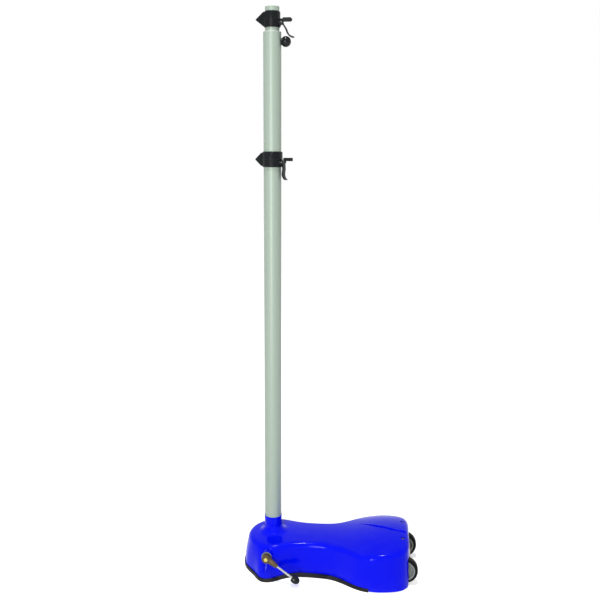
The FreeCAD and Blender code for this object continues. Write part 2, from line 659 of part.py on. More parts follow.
def lever_knob():
    """Black knob: flat where the rod enters, round at its far end."""
    arm = unit(LEVER_REACH)
    radius = LEVER_KNOB_R
    body = radius * 0.72
    steps = [math.radians(6 + 12 * i) for i in range(7)]
    dome = [(body + (LEVER_KNOB_LENGTH - body) * math.sin(a), radius * math.cos(a)) for a in steps]
    profile = [(0, 0), (0, radius * 0.74), (radius * 0.24, radius * 0.94)] + dome + [(LEVER_KNOB_LENGTH, 0)]
    face = hub_centre() + arm * (LEVER_REACH.Length - LEVER_KNOB_LENGTH / 2)
    bore = cylinder(LEVER_ROD_R + FIXED_GAP, face - arm, face + arm * (LEVER_ROD_SOCKET + FIXED_GAP))
    return turned(profile, face, arm).cut(bore)


# ---------------------------------------------------------------- wheels
def wheel_solid(profile):
    """Turned piece of a wheel, from (distance from the wheel's mid-plane, radius) points."""
    return turned(profile, Vector(WHEEL_X, 0, WHEEL_Z), Vector(0, 1, 0))


def wheel_hub():
    """Grey moulded hub: rim, web and boss."""
    half = WHEEL_WIDTH / 2
    web = HUB_DISC / 2
    rim = RIM_R - HUB_RIM
    bore = BUSH_R + FIXED_GAP
    side = [(half, HUB_BOSS_R), (web, HUB_BOSS_R), (web, rim), (half - 1, rim), (half - 1, RIM_R)]
    profile = [(half, bore)] + side + [(-s, r) for s, r in reversed(side)] + [(-half, bore)]
    return wheel_solid(profile)


def tyre():
    """Solid rubber tyre with rounded shoulders."""
    half = WHEEL_WIDTH / 2
    steps = [math.radians(30 * i) for i in range(4)]
    shoulder = [(half - TYRE_ROUNDING * (1 - math.cos(a)), WHEEL_R - TYRE_ROUNDING * (1 - math.sin(a))) for a in steps]
    inner = RIM_R + FIXED_GAP
    profile = [(half, inner)] + shoulder + [(-s, r) for s, r in reversed(shoulder)] + [(-half, inner)]
    return wheel_solid(profile)


def wheel_bush():
    """Bearing bush in the hub."""
    half = WHEEL_WIDTH / 2
    inner = AXLE_R + RUNNING_GAP
    return wheel_solid([(half, inner), (half, BUSH_R), (-half, BUSH_R), (-half, inner)])


def axle():
    """Axle through both wheels and the bracket's cheeks."""
    end = WHEEL_OUTER + FACE_GAP + AXLE_CAP_LENGTH - AXLE_CAP_WALL
    return cylinder(AXLE_R, Vector(WHEEL_X, -end, WHEEL_Z), Vector(WHEEL_X, end, WHEEL_Z))


def axle_caps():
    """Push-on caps outside the wheels."""
    start = WHEEL_OUTER + FACE_GAP
    end = start + AXLE_CAP_LENGTH
    inner = AXLE_R + FIXED_GAP
    floor = end - AXLE_CAP_WALL
    profile = [(start, inner), (start, AXLE_CAP_R), (end, AXLE_CAP_R), (end, 0), (floor, 0), (floor, inner)]
    cap = wheel_solid(profile)
    return group([cap, cap.mirror(Vector(), Vector(0, 1, 0))])


def wheel_spacers():
    """Washers between the bracket's cheeks and the wheels."""
    inner = AXLE_R + FIXED_GAP
    end = WHEEL_INNER - FACE_GAP
    profile = [(BRACKET_HALF, inner), (BRACKET_HALF, SPACER_R), (end, SPACER_R), (end, inner)]
    spacer = wheel_solid(profile)
    return group([spacer, spacer.mirror(Vector(), Vector(0, 1, 0))])


def axle_bracket():
    """Zinc-plated bracket: foot, rear web, two cheeks and the tabs for the posts."""
    foot = box((BRACKET_FRONT_X, BRACKET_REAR_X), (-BRACKET_HALF, BRACKET_HALF), (PLATE_TOP, PLATE_TOP + BRACKET_PLATE))
    web = box((BRACKET_REAR_X - BRACKET_PLATE, BRACKET_REAR_X), (-BRACKET_HALF, BRACKET_HALF), (PLATE_TOP, BRACKET_TOP))
    pieces = [web]
    for side in (-1, 1):
        outer = side * BRACKET_HALF
        cheek = sorted((outer, outer - side * BRACKET_PLATE))
        tab = sorted((outer, outer - side * BRACKET_TAB))
        pieces.append(box((CHEEK_FRONT_X, BRACKET_REAR_X), cheek, (PLATE_TOP, BRACKET_TOP)))
        pieces.append(box((CHEEK_FRONT_X, BRACKET_REAR_X), tab, (BRACKET_TOP - BRACKET_PLATE, BRACKET_TOP)))
    bracket = foot.fuse(pieces).removeSplitter()
    reach = Vector(0, 2 * BRACKET_HALF, 0)
    centre = Vector(WHEEL_X, 0, WHEEL_Z)
    return bracket.cut(cylinder(AXLE_R + FIXED_GAP, centre - reach, centre + reach)).cut(bolt_holes())


# ---------------------------------------------------------------- mast
def main_tube():
    """Lower tube, with the hole for the knob's insert."""
    tube = ring(MAIN_R, MAIN_BORE_R, MAIN_TUBE_FOOT, MAIN_TUBE_TOP)
    return tube.cut(cylinder(INSERT_R + FIXED_GAP, Vector(0, 0, BALL_Z), Vector(2 * MAIN_R, 0, BALL_Z)))


def mast_foot_plug():
    """Plug that closes the lower tube and stands on the foot pad."""
    flange = cylinder(MAIN_R - FIXED_GAP, Vector(0, 0, MAST_FOOT), Vector(0, 0, MAIN_TUBE_FOOT))
    stem = cylinder(MAIN_BORE_R - PAD_GAP, Vector(0, 0, MAIN_TUBE_FOOT), Vector(0, 0, MAIN_TUBE_FOOT + FOOT_PLUG_LENGTH))
    return flange.fuse(stem).removeSplitter()


def guide_bush():
    """Bush in the top of the lower tube that guides the inner tube."""
    inner = INNER_R + SLIDE_GAP
    sleeve = ring(MAIN_BORE_R - FIXED_GAP, inner, MAIN_TUBE_TOP - GUIDE_BUSH_LENGTH, MAIN_TUBE_TOP)
    flange = ring(MAIN_R - 2 * FIXED_GAP, inner, MAIN_TUBE_TOP, MAIN_TUBE_TOP + GUIDE_BUSH_FLANGE)
    return sleeve.fuse(flange).removeSplitter()


def inner_tube():
    """Upper tube that slides in the lower one."""
    return ring(INNER_R, INNER_BORE_R, INNER_TUBE_FOOT, INNER_TUBE_TOP)


def inner_glide():
    """Glide at the foot of the inner tube, running in the lower tube."""
    collar = cylinder(MAIN_BORE_R - SLIDE_GAP, Vector(0, 0, INNER_TUBE_FOOT - INNER_GLIDE_HEIGHT),
                      Vector(0, 0, INNER_TUBE_FOOT))
    stem = cylinder(INNER_BORE_R - FIXED_GAP, Vector(0, 0, INNER_TUBE_FOOT),
                    Vector(0, 0, INNER_TUBE_FOOT + INNER_PLUG_LENGTH))
    return collar.fuse(stem).removeSplitter()


def inner_cap():
    """Plug in the top of the inner tube."""
    stem = cylinder(INNER_BORE_R - FIXED_GAP, Vector(0, 0, INNER_TUBE_TOP - TOP_PLUG_LENGTH),
                    Vector(0, 0, INNER_TUBE_TOP))
    flange = cylinder(INNER_R - FIXED_GAP, Vector(0, 0, INNER_TUBE_TOP), Vector(0, 0, INNER_TUBE_TOP + PLUG_FLANGE / 2))
    return stem.fuse(flange).removeSplitter()


# ---------------------------------------------------------------- height clamp
def knob_insert():
    """Threaded insert in the lower tube's wall."""
    centre = Vector(0, 0, BALL_Z)
    sleeve = cylinder(INSERT_R, centre, centre + Vector(MAIN_R, 0, 0))
    sleeve = sleeve.cut(cylinder(MAIN_BORE_R - FIXED_GAP, Vector(0, 0, 0), Vector(0, 0, MAIN_TUBE_TOP)))
    flange = cylinder(INSERT_FLANGE_R, centre, centre + Vector(MAIN_R + INSERT_FLANGE, 0, 0))
    flange = flange.cut(cylinder(MAIN_R, Vector(0, 0, 0), Vector(0, 0, MAIN_TUBE_TOP)))
    insert = sleeve.fuse(flange).removeSplitter()
    return insert.cut(cylinder(KNOB_SCREW_R + RUNNING_GAP, centre, centre + Vector(2 * MAIN_R, 0, 0)))


def knob_tip():
    """Soft tip that the screw presses against the inner tube."""
    centre = Vector(0, 0, BALL_Z)
    tip = cylinder(KNOB_TIP_R, centre, centre + Vector(KNOB_TIP_END, 0, 0))
    return tip.cut(cylinder(INNER_R + PAD_GAP, Vector(0, 0, 0), Vector(0, 0, MAIN_TUBE_TOP)))


def knob_screw():
    """Screw moulded into the ball."""
    return cylinder(KNOB_SCREW_R, Vector(KNOB_TIP_END, 0, BALL_Z), Vector(BALL_CENTRE, 0, BALL_Z))


def ball_knob():
    """Ball with a flat face towards the insert."""
    ball = Part.makeSphere(BALL_R, Vector(BALL_CENTRE, 0, BALL_Z))
    face = MAIN_R + INSERT_FLANGE + FACE_GAP
    ball = ball.common(box((face, 2 * BALL_CENTRE), (-BALL_R, BALL_R), (BALL_Z - BALL_R, BALL_Z + BALL_R)))
    return ball.cut(cylinder(KNOB_SCREW_R + FIXED_GAP, Vector(0, 0, BALL_Z), Vector(BALL_CENTRE, 0, BALL_Z)))


# ---------------------------------------------------------------- net collars
class Collar:
    """One net collar about the mast axis, at mid-height zero and with its lever towards +X."""

    def __init__(self, face, height, tube):
        self.face = face
        self.half = height / 2
        self.bore = tube + PAD_GAP + RUNNING_GAP
        self.pivot = Vector(face + PIVOT_OUT, 0, -PIVOT_DROP)

    def horn(self):
        """Arrow-shaped horn that the net cord hooks over."""
        tip = -(self.face + HORN_LENGTH)
        root = tip + HORN_LENGTH
        side = [Vector(tip, 0, -HORN_TIP_HALF_HEIGHT), Vector(root, 0, -HORN_HALF_HEIGHT), Vector(0, 0, -HORN_HALF_HEIGHT),
                Vector(0, 0, HORN_HALF_HEIGHT), Vector(root, 0, HORN_HALF_HEIGHT), Vector(tip, 0, HORN_TIP_HALF_HEIGHT)]
        breadth = 2 * HORN_ROOT_HALF_WIDTH
        wedge = at(prism(side, Vector(0, breadth, 0)), 0, -HORN_ROOT_HALF_WIDTH, 0)
        plan = [Vector(tip, -HORN_TIP_HALF_WIDTH, -self.half), Vector(root, -HORN_ROOT_HALF_WIDTH, -self.half),
                Vector(0, -HORN_ROOT_HALF_WIDTH, -self.half), Vector(0, HORN_ROOT_HALF_WIDTH, -self.half),
                Vector(root, HORN_ROOT_HALF_WIDTH, -self.half), Vector(tip, HORN_TIP_HALF_WIDTH, -self.half)]
        return wedge.common(prism(plan, Vector(0, 0, 2 * self.half)))

    def cord_mark(self):
        """Raised U on the -Y face, open at the collar's top edge."""
        low = self.half - CORD_MARK_DEPTH
        mark = self.u_shape(CORD_MARK_WIDTH / 2, low).cut(self.u_shape(CORD_MARK_WIDTH / 2 - CORD_MARK_RIB, low + CORD_MARK_RIB))
        skin = ring(self.face + CORD_MARK_PROUD, self.face - 1, -self.half, self.half - COLLAR_CHAMFER)
        return mark.common(skin)

    def u_shape(self, radius, low):
        """Slot-shaped plug through the -Y wall with a round lower end."""
        centre = Vector(0, 0, low + radius)
        out = Vector(0, -2 * self.face, 0)
        shaft = box((-radius, radius), (-2 * self.face, 0), (low + radius, self.half + 1))
        return cylinder(radius, centre, centre + out).fuse(shaft)

    def lugs(self):
        """Two ears that carry the lever's pin."""
        ears = []
        for side in (-1, 1):
            inner = side * (BLADE_HALF + FACE_GAP)
            outer = inner + side * LUG_THICKNESS
            low, high = sorted((inner, outer))
            eye = cylinder(LUG_R, self.pivot + Vector(0, low, 0), self.pivot + Vector(0, high, 0))
            web = box((self.bore / 2, self.pivot.x), (low, high), (-PIVOT_DROP - LUG_R, -PIVOT_DROP + LUG_R))
            ears.append(eye.fuse(web))
        return ears

    def body(self):
        """Moulded collar."""
        core = cylinder(self.face, Vector(0, 0, -self.half), Vector(0, 0, self.half))
        rims = [e for e in core.Edges if e.Closed and e.BoundBox.ZLength < 1]
        core = core.makeChamfer(COLLAR_CHAMFER, rims)
        ridge = cylinder(self.face + RIDGE_DEPTH, Vector(0, 0, -RIDGE_HEIGHT / 2), Vector(0, 0, RIDGE_HEIGHT / 2))
        solid = core.fuse([self.horn(), ridge, self.cord_mark()] + self.lugs()).removeSplitter()
        reach = Vector(0, 0, 2 * self.half)
        solid = solid.cut(cylinder(self.bore, Vector() - reach, reach))
        solid = solid.cut(self.pad_block(FIXED_GAP, 2 * CAM_R))
        across = Vector(0, 2 * self.face, 0)
        solid = solid.cut(cylinder(PIVOT_PIN_R + FIXED_GAP, self.pivot - across, self.pivot + across))
        start = Vector(self.face - STUD_DEPTH, 0, 0)
        return solid.cut(cylinder(STUD_R + FIXED_GAP, start, Vector(2 * self.face, 0, 0)))

    def pad_block(self, gap, proud):
        """Block through the +X wall behind the lever's cam."""
        half = COLLAR_PAD_HALF + gap
        return box((0, self.face + proud), (-half, half), (COLLAR_PAD_BOTTOM - gap, COLLAR_PAD_TOP + gap))

    def pad(self):
        """Pad that the cam presses against the tube."""
        reach = Vector(0, 0, 2 * self.half)
        return self.pad_block(0, COLLAR_PAD_PROUD).cut(cylinder(self.bore, Vector() - reach, reach))

    def pin(self):
        """Hinge pin of the lever."""
        half = Vector(0, BLADE_HALF + FACE_GAP + LUG_THICKNESS, 0)
        return cylinder(PIVOT_PIN_R, self.pivot - half, self.pivot + half)

    def lever(self, opened):
        """Cam lever, opened by an angle from hanging straight down."""
        half = BLADE_THICKNESS / 2
        outer = Part.BSplineCurve()
        inner = Part.BSplineCurve()
        outer.interpolate([Vector(self.pivot.x + x + half, -BLADE_HALF, self.pivot.z - z) for x, z in BLADE_LINE])
        inner.interpolate([Vector(self.pivot.x + x - half, -BLADE_HALF, self.pivot.z - z) for x, z in BLADE_LINE])
        ends = [Part.makeLine(outer.EndPoint, inner.EndPoint), Part.makeLine(inner.StartPoint, outer.StartPoint)]
        blade_face = Part.Face(Part.Wire([outer.toShape(), ends[0], inner.toShape(), ends[1]]))
        blade = blade_face.extrude(Vector(0, 2 * BLADE_HALF, 0))
        breadth = Vector(0, BLADE_HALF, 0)
        cam = cylinder(CAM_R, self.pivot - breadth, self.pivot + breadth)
        lever = cam.fuse(blade).removeSplitter()
        lever = lever.cut(cylinder(PIVOT_PIN_R + RUNNING_GAP, self.pivot - 2 * breadth, self.pivot + 2 * breadth))
        return lever.rotated(self.pivot, Vector(0, -1, 0), opened)

    def stud(self):
        """Steel stud of the cord peg."""
        return cylinder(STUD_R, Vector(self.face - STUD_DEPTH, 0, 0), Vector(self.face + GRIP_START + GRIP_SOCKET, 0, 0))

    def grip(self, roll):
        """Oblong moulded grip on the stud, rolled about it."""
        start = self.face + GRIP_START
        tall, wide = GRIP_HEIGHT / 2, GRIP_WIDTH / 2
        block = box((start, start + GRIP_LENGTH - tall), (-wide, wide), (-tall, tall))
        end = Vector(start + GRIP_LENGTH - tall, 0, 0)
        block = block.fuse(cylinder(tall, end - Vector(0, wide, 0), end + Vector(0, wide, 0))).removeSplitter()
        block = block.makeFillet(wide / 3, [e for e in block.Edges if e.BoundBox.YLength < 1])
        block = block.cut(cylinder(STUD_R + FIXED_GAP, Vector(start - 1, 0, 0), Vector(start + GRIP_SOCKET, 0, 0)))
        return block.rotated(Vector(), Vector(1, 0, 0), roll)

    def pieces(self, name, z, turn, opened, roll):
        """All the collar's nodes in their place on the mast."""
        shapes = {"collar": self.body(), "collar_pad": self.pad(), "lever_pin": self.pin(),
                  "lever": self.lever(opened), "peg_stud": self.stud(), "peg_grip": self.grip(roll)}
        place = Placement(Vector(0, 0, z), Rotation(Z_AXIS, turn))
        return {f"{name}_{key}": shape.transformed(place.toMatrix()) for key, shape in shapes.items()}


# ---------------------------------------------------------------- all nodes
def wheels():
    """Both wheels, each of three nodes."""
    nodes = {}
    for name, y in (("left", WHEEL_Y), ("right", -WHEEL_Y)):
        nodes[f"wheel_hub_{name}"] = at(wheel_hub(), 0, y, 0)
        nodes[f"tyre_{name}"] = at(tyre(), 0, y, 0)
        nodes[f"wheel_bush_{name}"] = at(wheel_bush(), 0, y, 0)
    return nodes


def base():
    """Everything that stands still."""
    socket, bracket = bolt_points()
    return {
        "base_mat": base_mat(), "mat_screws": mat_screws(), "base_plate": base_plate(),
        "ballast_lower": ballast_slab(PLATE_TOP, BALLAST_MIDDLE),
        "ballast_upper": ballast_slab(BALLAST_MIDDLE, BALLAST_TOP),
        "ballast_studs": ballast_studs(), "ballast_nuts": ballast_nuts(),
        "mast_socket": mast_socket(), "socket_gussets": socket_gussets(),
        "socket_bolts": hex_bolts(socket, PLATE_TOP + SOCKET_FLANGE),
        "clamp_boss": clamp_boss(), "foot_pad": foot_pad(),
        "base_cover": base_cover(), "cover_posts": cover_posts(), "cover_screws": cover_screws(),
        "lever_washer": lever_washer(), "axle_bracket": axle_bracket(),
        "bracket_bolts": hex_bolts(bracket, PLATE_TOP + BRACKET_PLATE),
        "axle": axle(), "axle_caps": axle_caps(), "wheel_spacers": wheel_spacers(),
    }


def clamp_lever():
    """Lever of the base with its spindle and pad."""
    return {
        "clamp_pad": clamp_pad(), "clamp_spindle": clamp_spindle(), "lever_hub": lever_hub(),
        "hub_screw": hub_screw(), "lever_rod": lever_rod(), "lever_knob": lever_knob(),
    }


def mast():
    """Both tubes with their plugs, and the height clamp."""
    return {
        "main_tube": main_tube(), "mast_foot_plug": mast_foot_plug(), "guide_bush": guide_bush(),
        "inner_tube": inner_tube(), "inner_glide": inner_glide(), "inner_cap": inner_cap(),
        "knob_insert": knob_insert(), "knob_tip": knob_tip(), "knob_screw": knob_screw(),
        "ball_knob": ball_knob(),
    }


def collars():
    """Both net collars."""
    middle = Collar(MIDDLE_COLLAR_R, MIDDLE_COLLAR_HEIGHT, MAIN_R)
    top = Collar(TOP_COLLAR_R, TOP_COLLAR_HEIGHT, INNER_R)
    nodes = middle.pieces("middle", MIDDLE_COLLAR_Z, MIDDLE_COLLAR_TURN, MIDDLE_LEVER_OPEN, MIDDLE_GRIP_ROLL)
    nodes.update(top.pieces("top", TOP_COLLAR_Z, 0, TOP_LEVER_OPEN, TOP_GRIP_ROLL))
    return nodes


def main():
    """Builds every node and writes one STEP file for each."""
    os.makedirs("parts", exist_ok=True)
    nodes = {}
    for part in (base, clamp_lever, wheels, mast, collars):
        nodes.update(part())
    for name, shape in nodes.items():
        shape.exportStep(f"parts/{name}.step")
        print(f"{name}: {len(shape.Solids)} solids, {shape.Volume / 1000:.2f} cm3, valid {shape.isValid()}")


main()
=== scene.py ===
"""Looks of a telescopic net post that stands in a weighted base with two wheels.

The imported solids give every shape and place. The classes below round the hard edges
of moulded and cast pieces, add the small forms that the solids leave out, and give
every surface its finish. All sizes are in metres, in the frame of the solids.
"""

import json
import logging
import math
from collections.abc import Sequence
from dataclasses import dataclass
from enum import Enum
from typing import Any

import bmesh
import bpy
from mathutils import Matrix, Vector

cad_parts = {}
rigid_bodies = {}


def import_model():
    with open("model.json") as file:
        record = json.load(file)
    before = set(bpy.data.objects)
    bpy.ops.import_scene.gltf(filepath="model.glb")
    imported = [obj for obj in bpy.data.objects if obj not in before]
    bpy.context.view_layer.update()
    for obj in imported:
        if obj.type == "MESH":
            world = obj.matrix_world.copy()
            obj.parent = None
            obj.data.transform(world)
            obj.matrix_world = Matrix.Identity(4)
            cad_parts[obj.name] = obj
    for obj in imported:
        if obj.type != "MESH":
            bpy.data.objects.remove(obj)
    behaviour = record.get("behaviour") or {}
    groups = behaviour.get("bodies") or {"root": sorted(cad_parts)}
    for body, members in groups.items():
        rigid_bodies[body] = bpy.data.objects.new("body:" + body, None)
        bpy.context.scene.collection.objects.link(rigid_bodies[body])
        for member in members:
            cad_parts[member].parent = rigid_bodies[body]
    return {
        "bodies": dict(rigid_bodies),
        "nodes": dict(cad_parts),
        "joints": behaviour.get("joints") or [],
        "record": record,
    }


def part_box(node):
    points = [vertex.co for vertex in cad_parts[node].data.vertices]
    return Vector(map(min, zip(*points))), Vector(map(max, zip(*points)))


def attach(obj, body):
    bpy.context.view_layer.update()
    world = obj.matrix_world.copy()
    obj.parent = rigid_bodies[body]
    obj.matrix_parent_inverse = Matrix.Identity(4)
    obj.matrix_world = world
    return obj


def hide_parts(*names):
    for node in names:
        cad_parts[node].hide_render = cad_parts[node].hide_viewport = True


LOG = logging.getLogger("net_post")
Colour = tuple[float, float, float]
Profile = list[tuple[float, float]]
WHITE = (1.0, 1.0, 1.0, 1.0)
FIT = 0.0001                       # gap between a made piece and the solid that it fits
SHARP_EDGE = math.radians(38.0)    # edges that turn by more than this stay sharp


class Direction(Enum):
    """Axes that a round piece can be turned about."""

    ALONG = Vector((1, 0, 0))
    ACROSS = Vector((0, 1, 0))
    UP = Vector((0, 0, 1))

    def turn(self) -> Matrix:
        """Rotation that lays the local Z axis along this direction.

        Returns:
            The rotation.
        """
        return self.value.to_track_quat("Z", "Y").to_matrix().to_4x4()


class Graph:
    """Adds and joins the nodes of one shader or geometry tree."""

    MIX_SHARE, MIX_FIRST, MIX_SECOND, MIX_RESULT = 0, 6, 7, 2

    def __init__(self, tree: bpy.types.NodeTree) -> None:
        """Wraps a tree.

        Args:
            tree: The tree to work on.
        """
        self.tree = tree

    def add(self, kind: str, inputs: dict[Any, Any] | None = None, **settings: Any) -> bpy.types.Node:
        """Adds a node.

        Args:
            kind: Blender's name of the node type.
            inputs: Values or source sockets by input name or index.
            **settings: Properties of the node.

        Returns:
            The new node.
        """
        node = self.tree.nodes.new(kind)
        for key, value in settings.items():
            setattr(node, key, value)
        for key, value in (inputs or {}).items():
            self.feed(value, node.inputs[key])
        return node

    def feed(self, value: Any, socket: bpy.types.NodeSocket) -> None:
        """Sets an input to a plain value, or links it to a source socket.

        Args:
            value: A number, a vector, a colour or an output socket.
            socket: The input to set.
        """
        if isinstance(value, bpy.types.NodeSocket):
            self.tree.links.new(value, socket)
        else:
            socket.default_value = value

    def math(self, operation: str, *values: Any, clamp: bool = False) -> bpy.types.NodeSocket:
        """Adds a Math node.

        Args:
            operation: Blender's name of the operation.
            *values: Numbers or sockets, in order.
            clamp: Whether the result stays between 0 and 1.

        Returns:
            The result's socket.
        """
        inputs = dict(enumerate(values))
        return self.add("ShaderNodeMath", inputs, operation=operation, use_clamp=clamp).outputs[0]

    def mix(self, share: Any, first: Any, second: Any) -> bpy.types.NodeSocket:
        """Mixes two colours.

        Args:
            share: How much of the second colour, from 0 to 1.
            first: The first colour.
            second: The second colour.

        Returns:
            The mixed colour's socket.
        """
        inputs = {self.MIX_SHARE: share, self.MIX_FIRST: first, self.MIX_SECOND: second}
        return self.add("ShaderNodeMix", inputs, data_type="RGBA").outputs[self.MIX_RESULT]

    def place(self) -> bpy.types.NodeSocket:
        """Adds the place of the shaded point in its object.

        Returns:
            The place's socket.
        """
        return self.add("ShaderNodeTexCoord").outputs["Object"]

    def noise(self, place: Any, scale: Any, detail: float) -> bpy.types.NodeSocket:
        """Adds a noise.

        Args:
            place: Where it is read.
            scale: How fine it is.
            detail: How many finer layers it has.

        Returns:
            The noise's socket.
        """
        inputs = {"Vector": place, "Scale": scale, "Detail": detail}
        return self.add("ShaderNodeTexNoise", inputs).outputs[0]

    def dot(self, first: Any, second: Any) -> bpy.types.NodeSocket:
        """Multiplies two vectors.

        Args:
            first: The first vector.
            second: The second vector.

        Returns:
            The dot product's socket.
        """
        inputs = {0: first, 1: second}
        return self.add("ShaderNodeVectorMath", inputs, operation="DOT_PRODUCT").outputs["Value"]

    def upright(self, vector: Any) -> bpy.types.NodeSocket:
        """Splits a vector.

        Args:
            vector: The vector.

        Returns:
            The socket of its Z part.
        """
        return self.add("ShaderNodeSeparateXYZ", {0: vector}).outputs["Z"]

    def ramp(self, value: Any, low: float, high: float, start: float = 0.0,
             end: float = 1.0) -> bpy.types.NodeSocket:
        """Maps a span of values smoothly onto another.

        Args:
            value: The value to map.
            low: Lower end of the span.
            high: Upper end of the span.
            start: What the lower end becomes.
            end: What the upper end becomes.

        Returns:
            The mapped value's socket.
        """
        span = {"From Min": low, "From Max": high, "To Min": start, "To Max": end, "Value": value}
        return self.add("ShaderNodeMapRange", span, interpolation_type="SMOOTHSTEP").outputs[0]


def new_group(name: str, kind: str, inputs: dict[str, tuple[str, Any]],
              outputs: dict[str, str]) -> tuple[Graph, Any, Any]:
    """Starts a node group with named sockets.

    Args:
        name: The group's name.
        kind: ShaderNodeTree or GeometryNodeTree.
        inputs: Socket type and default of each input.
        outputs: Socket type of each output.

    Returns:
        The group's graph, its input node's outputs and its output node's inputs.
    """
    tree = bpy.data.node_groups.new(name, kind)
    for label, (socket_type, default) in inputs.items():
        socket = tree.interface.new_socket(label, in_out="INPUT", socket_type=socket_type)
        if default is not None:
            socket.default_value = default
    for label, socket_type in outputs.items():
        tree.interface.new_socket(label, in_out="OUTPUT", socket_type=socket_type)
    graph = Graph(tree)
    return graph, graph.add("NodeGroupInput").outputs, graph.add("NodeGroupOutput").inputs


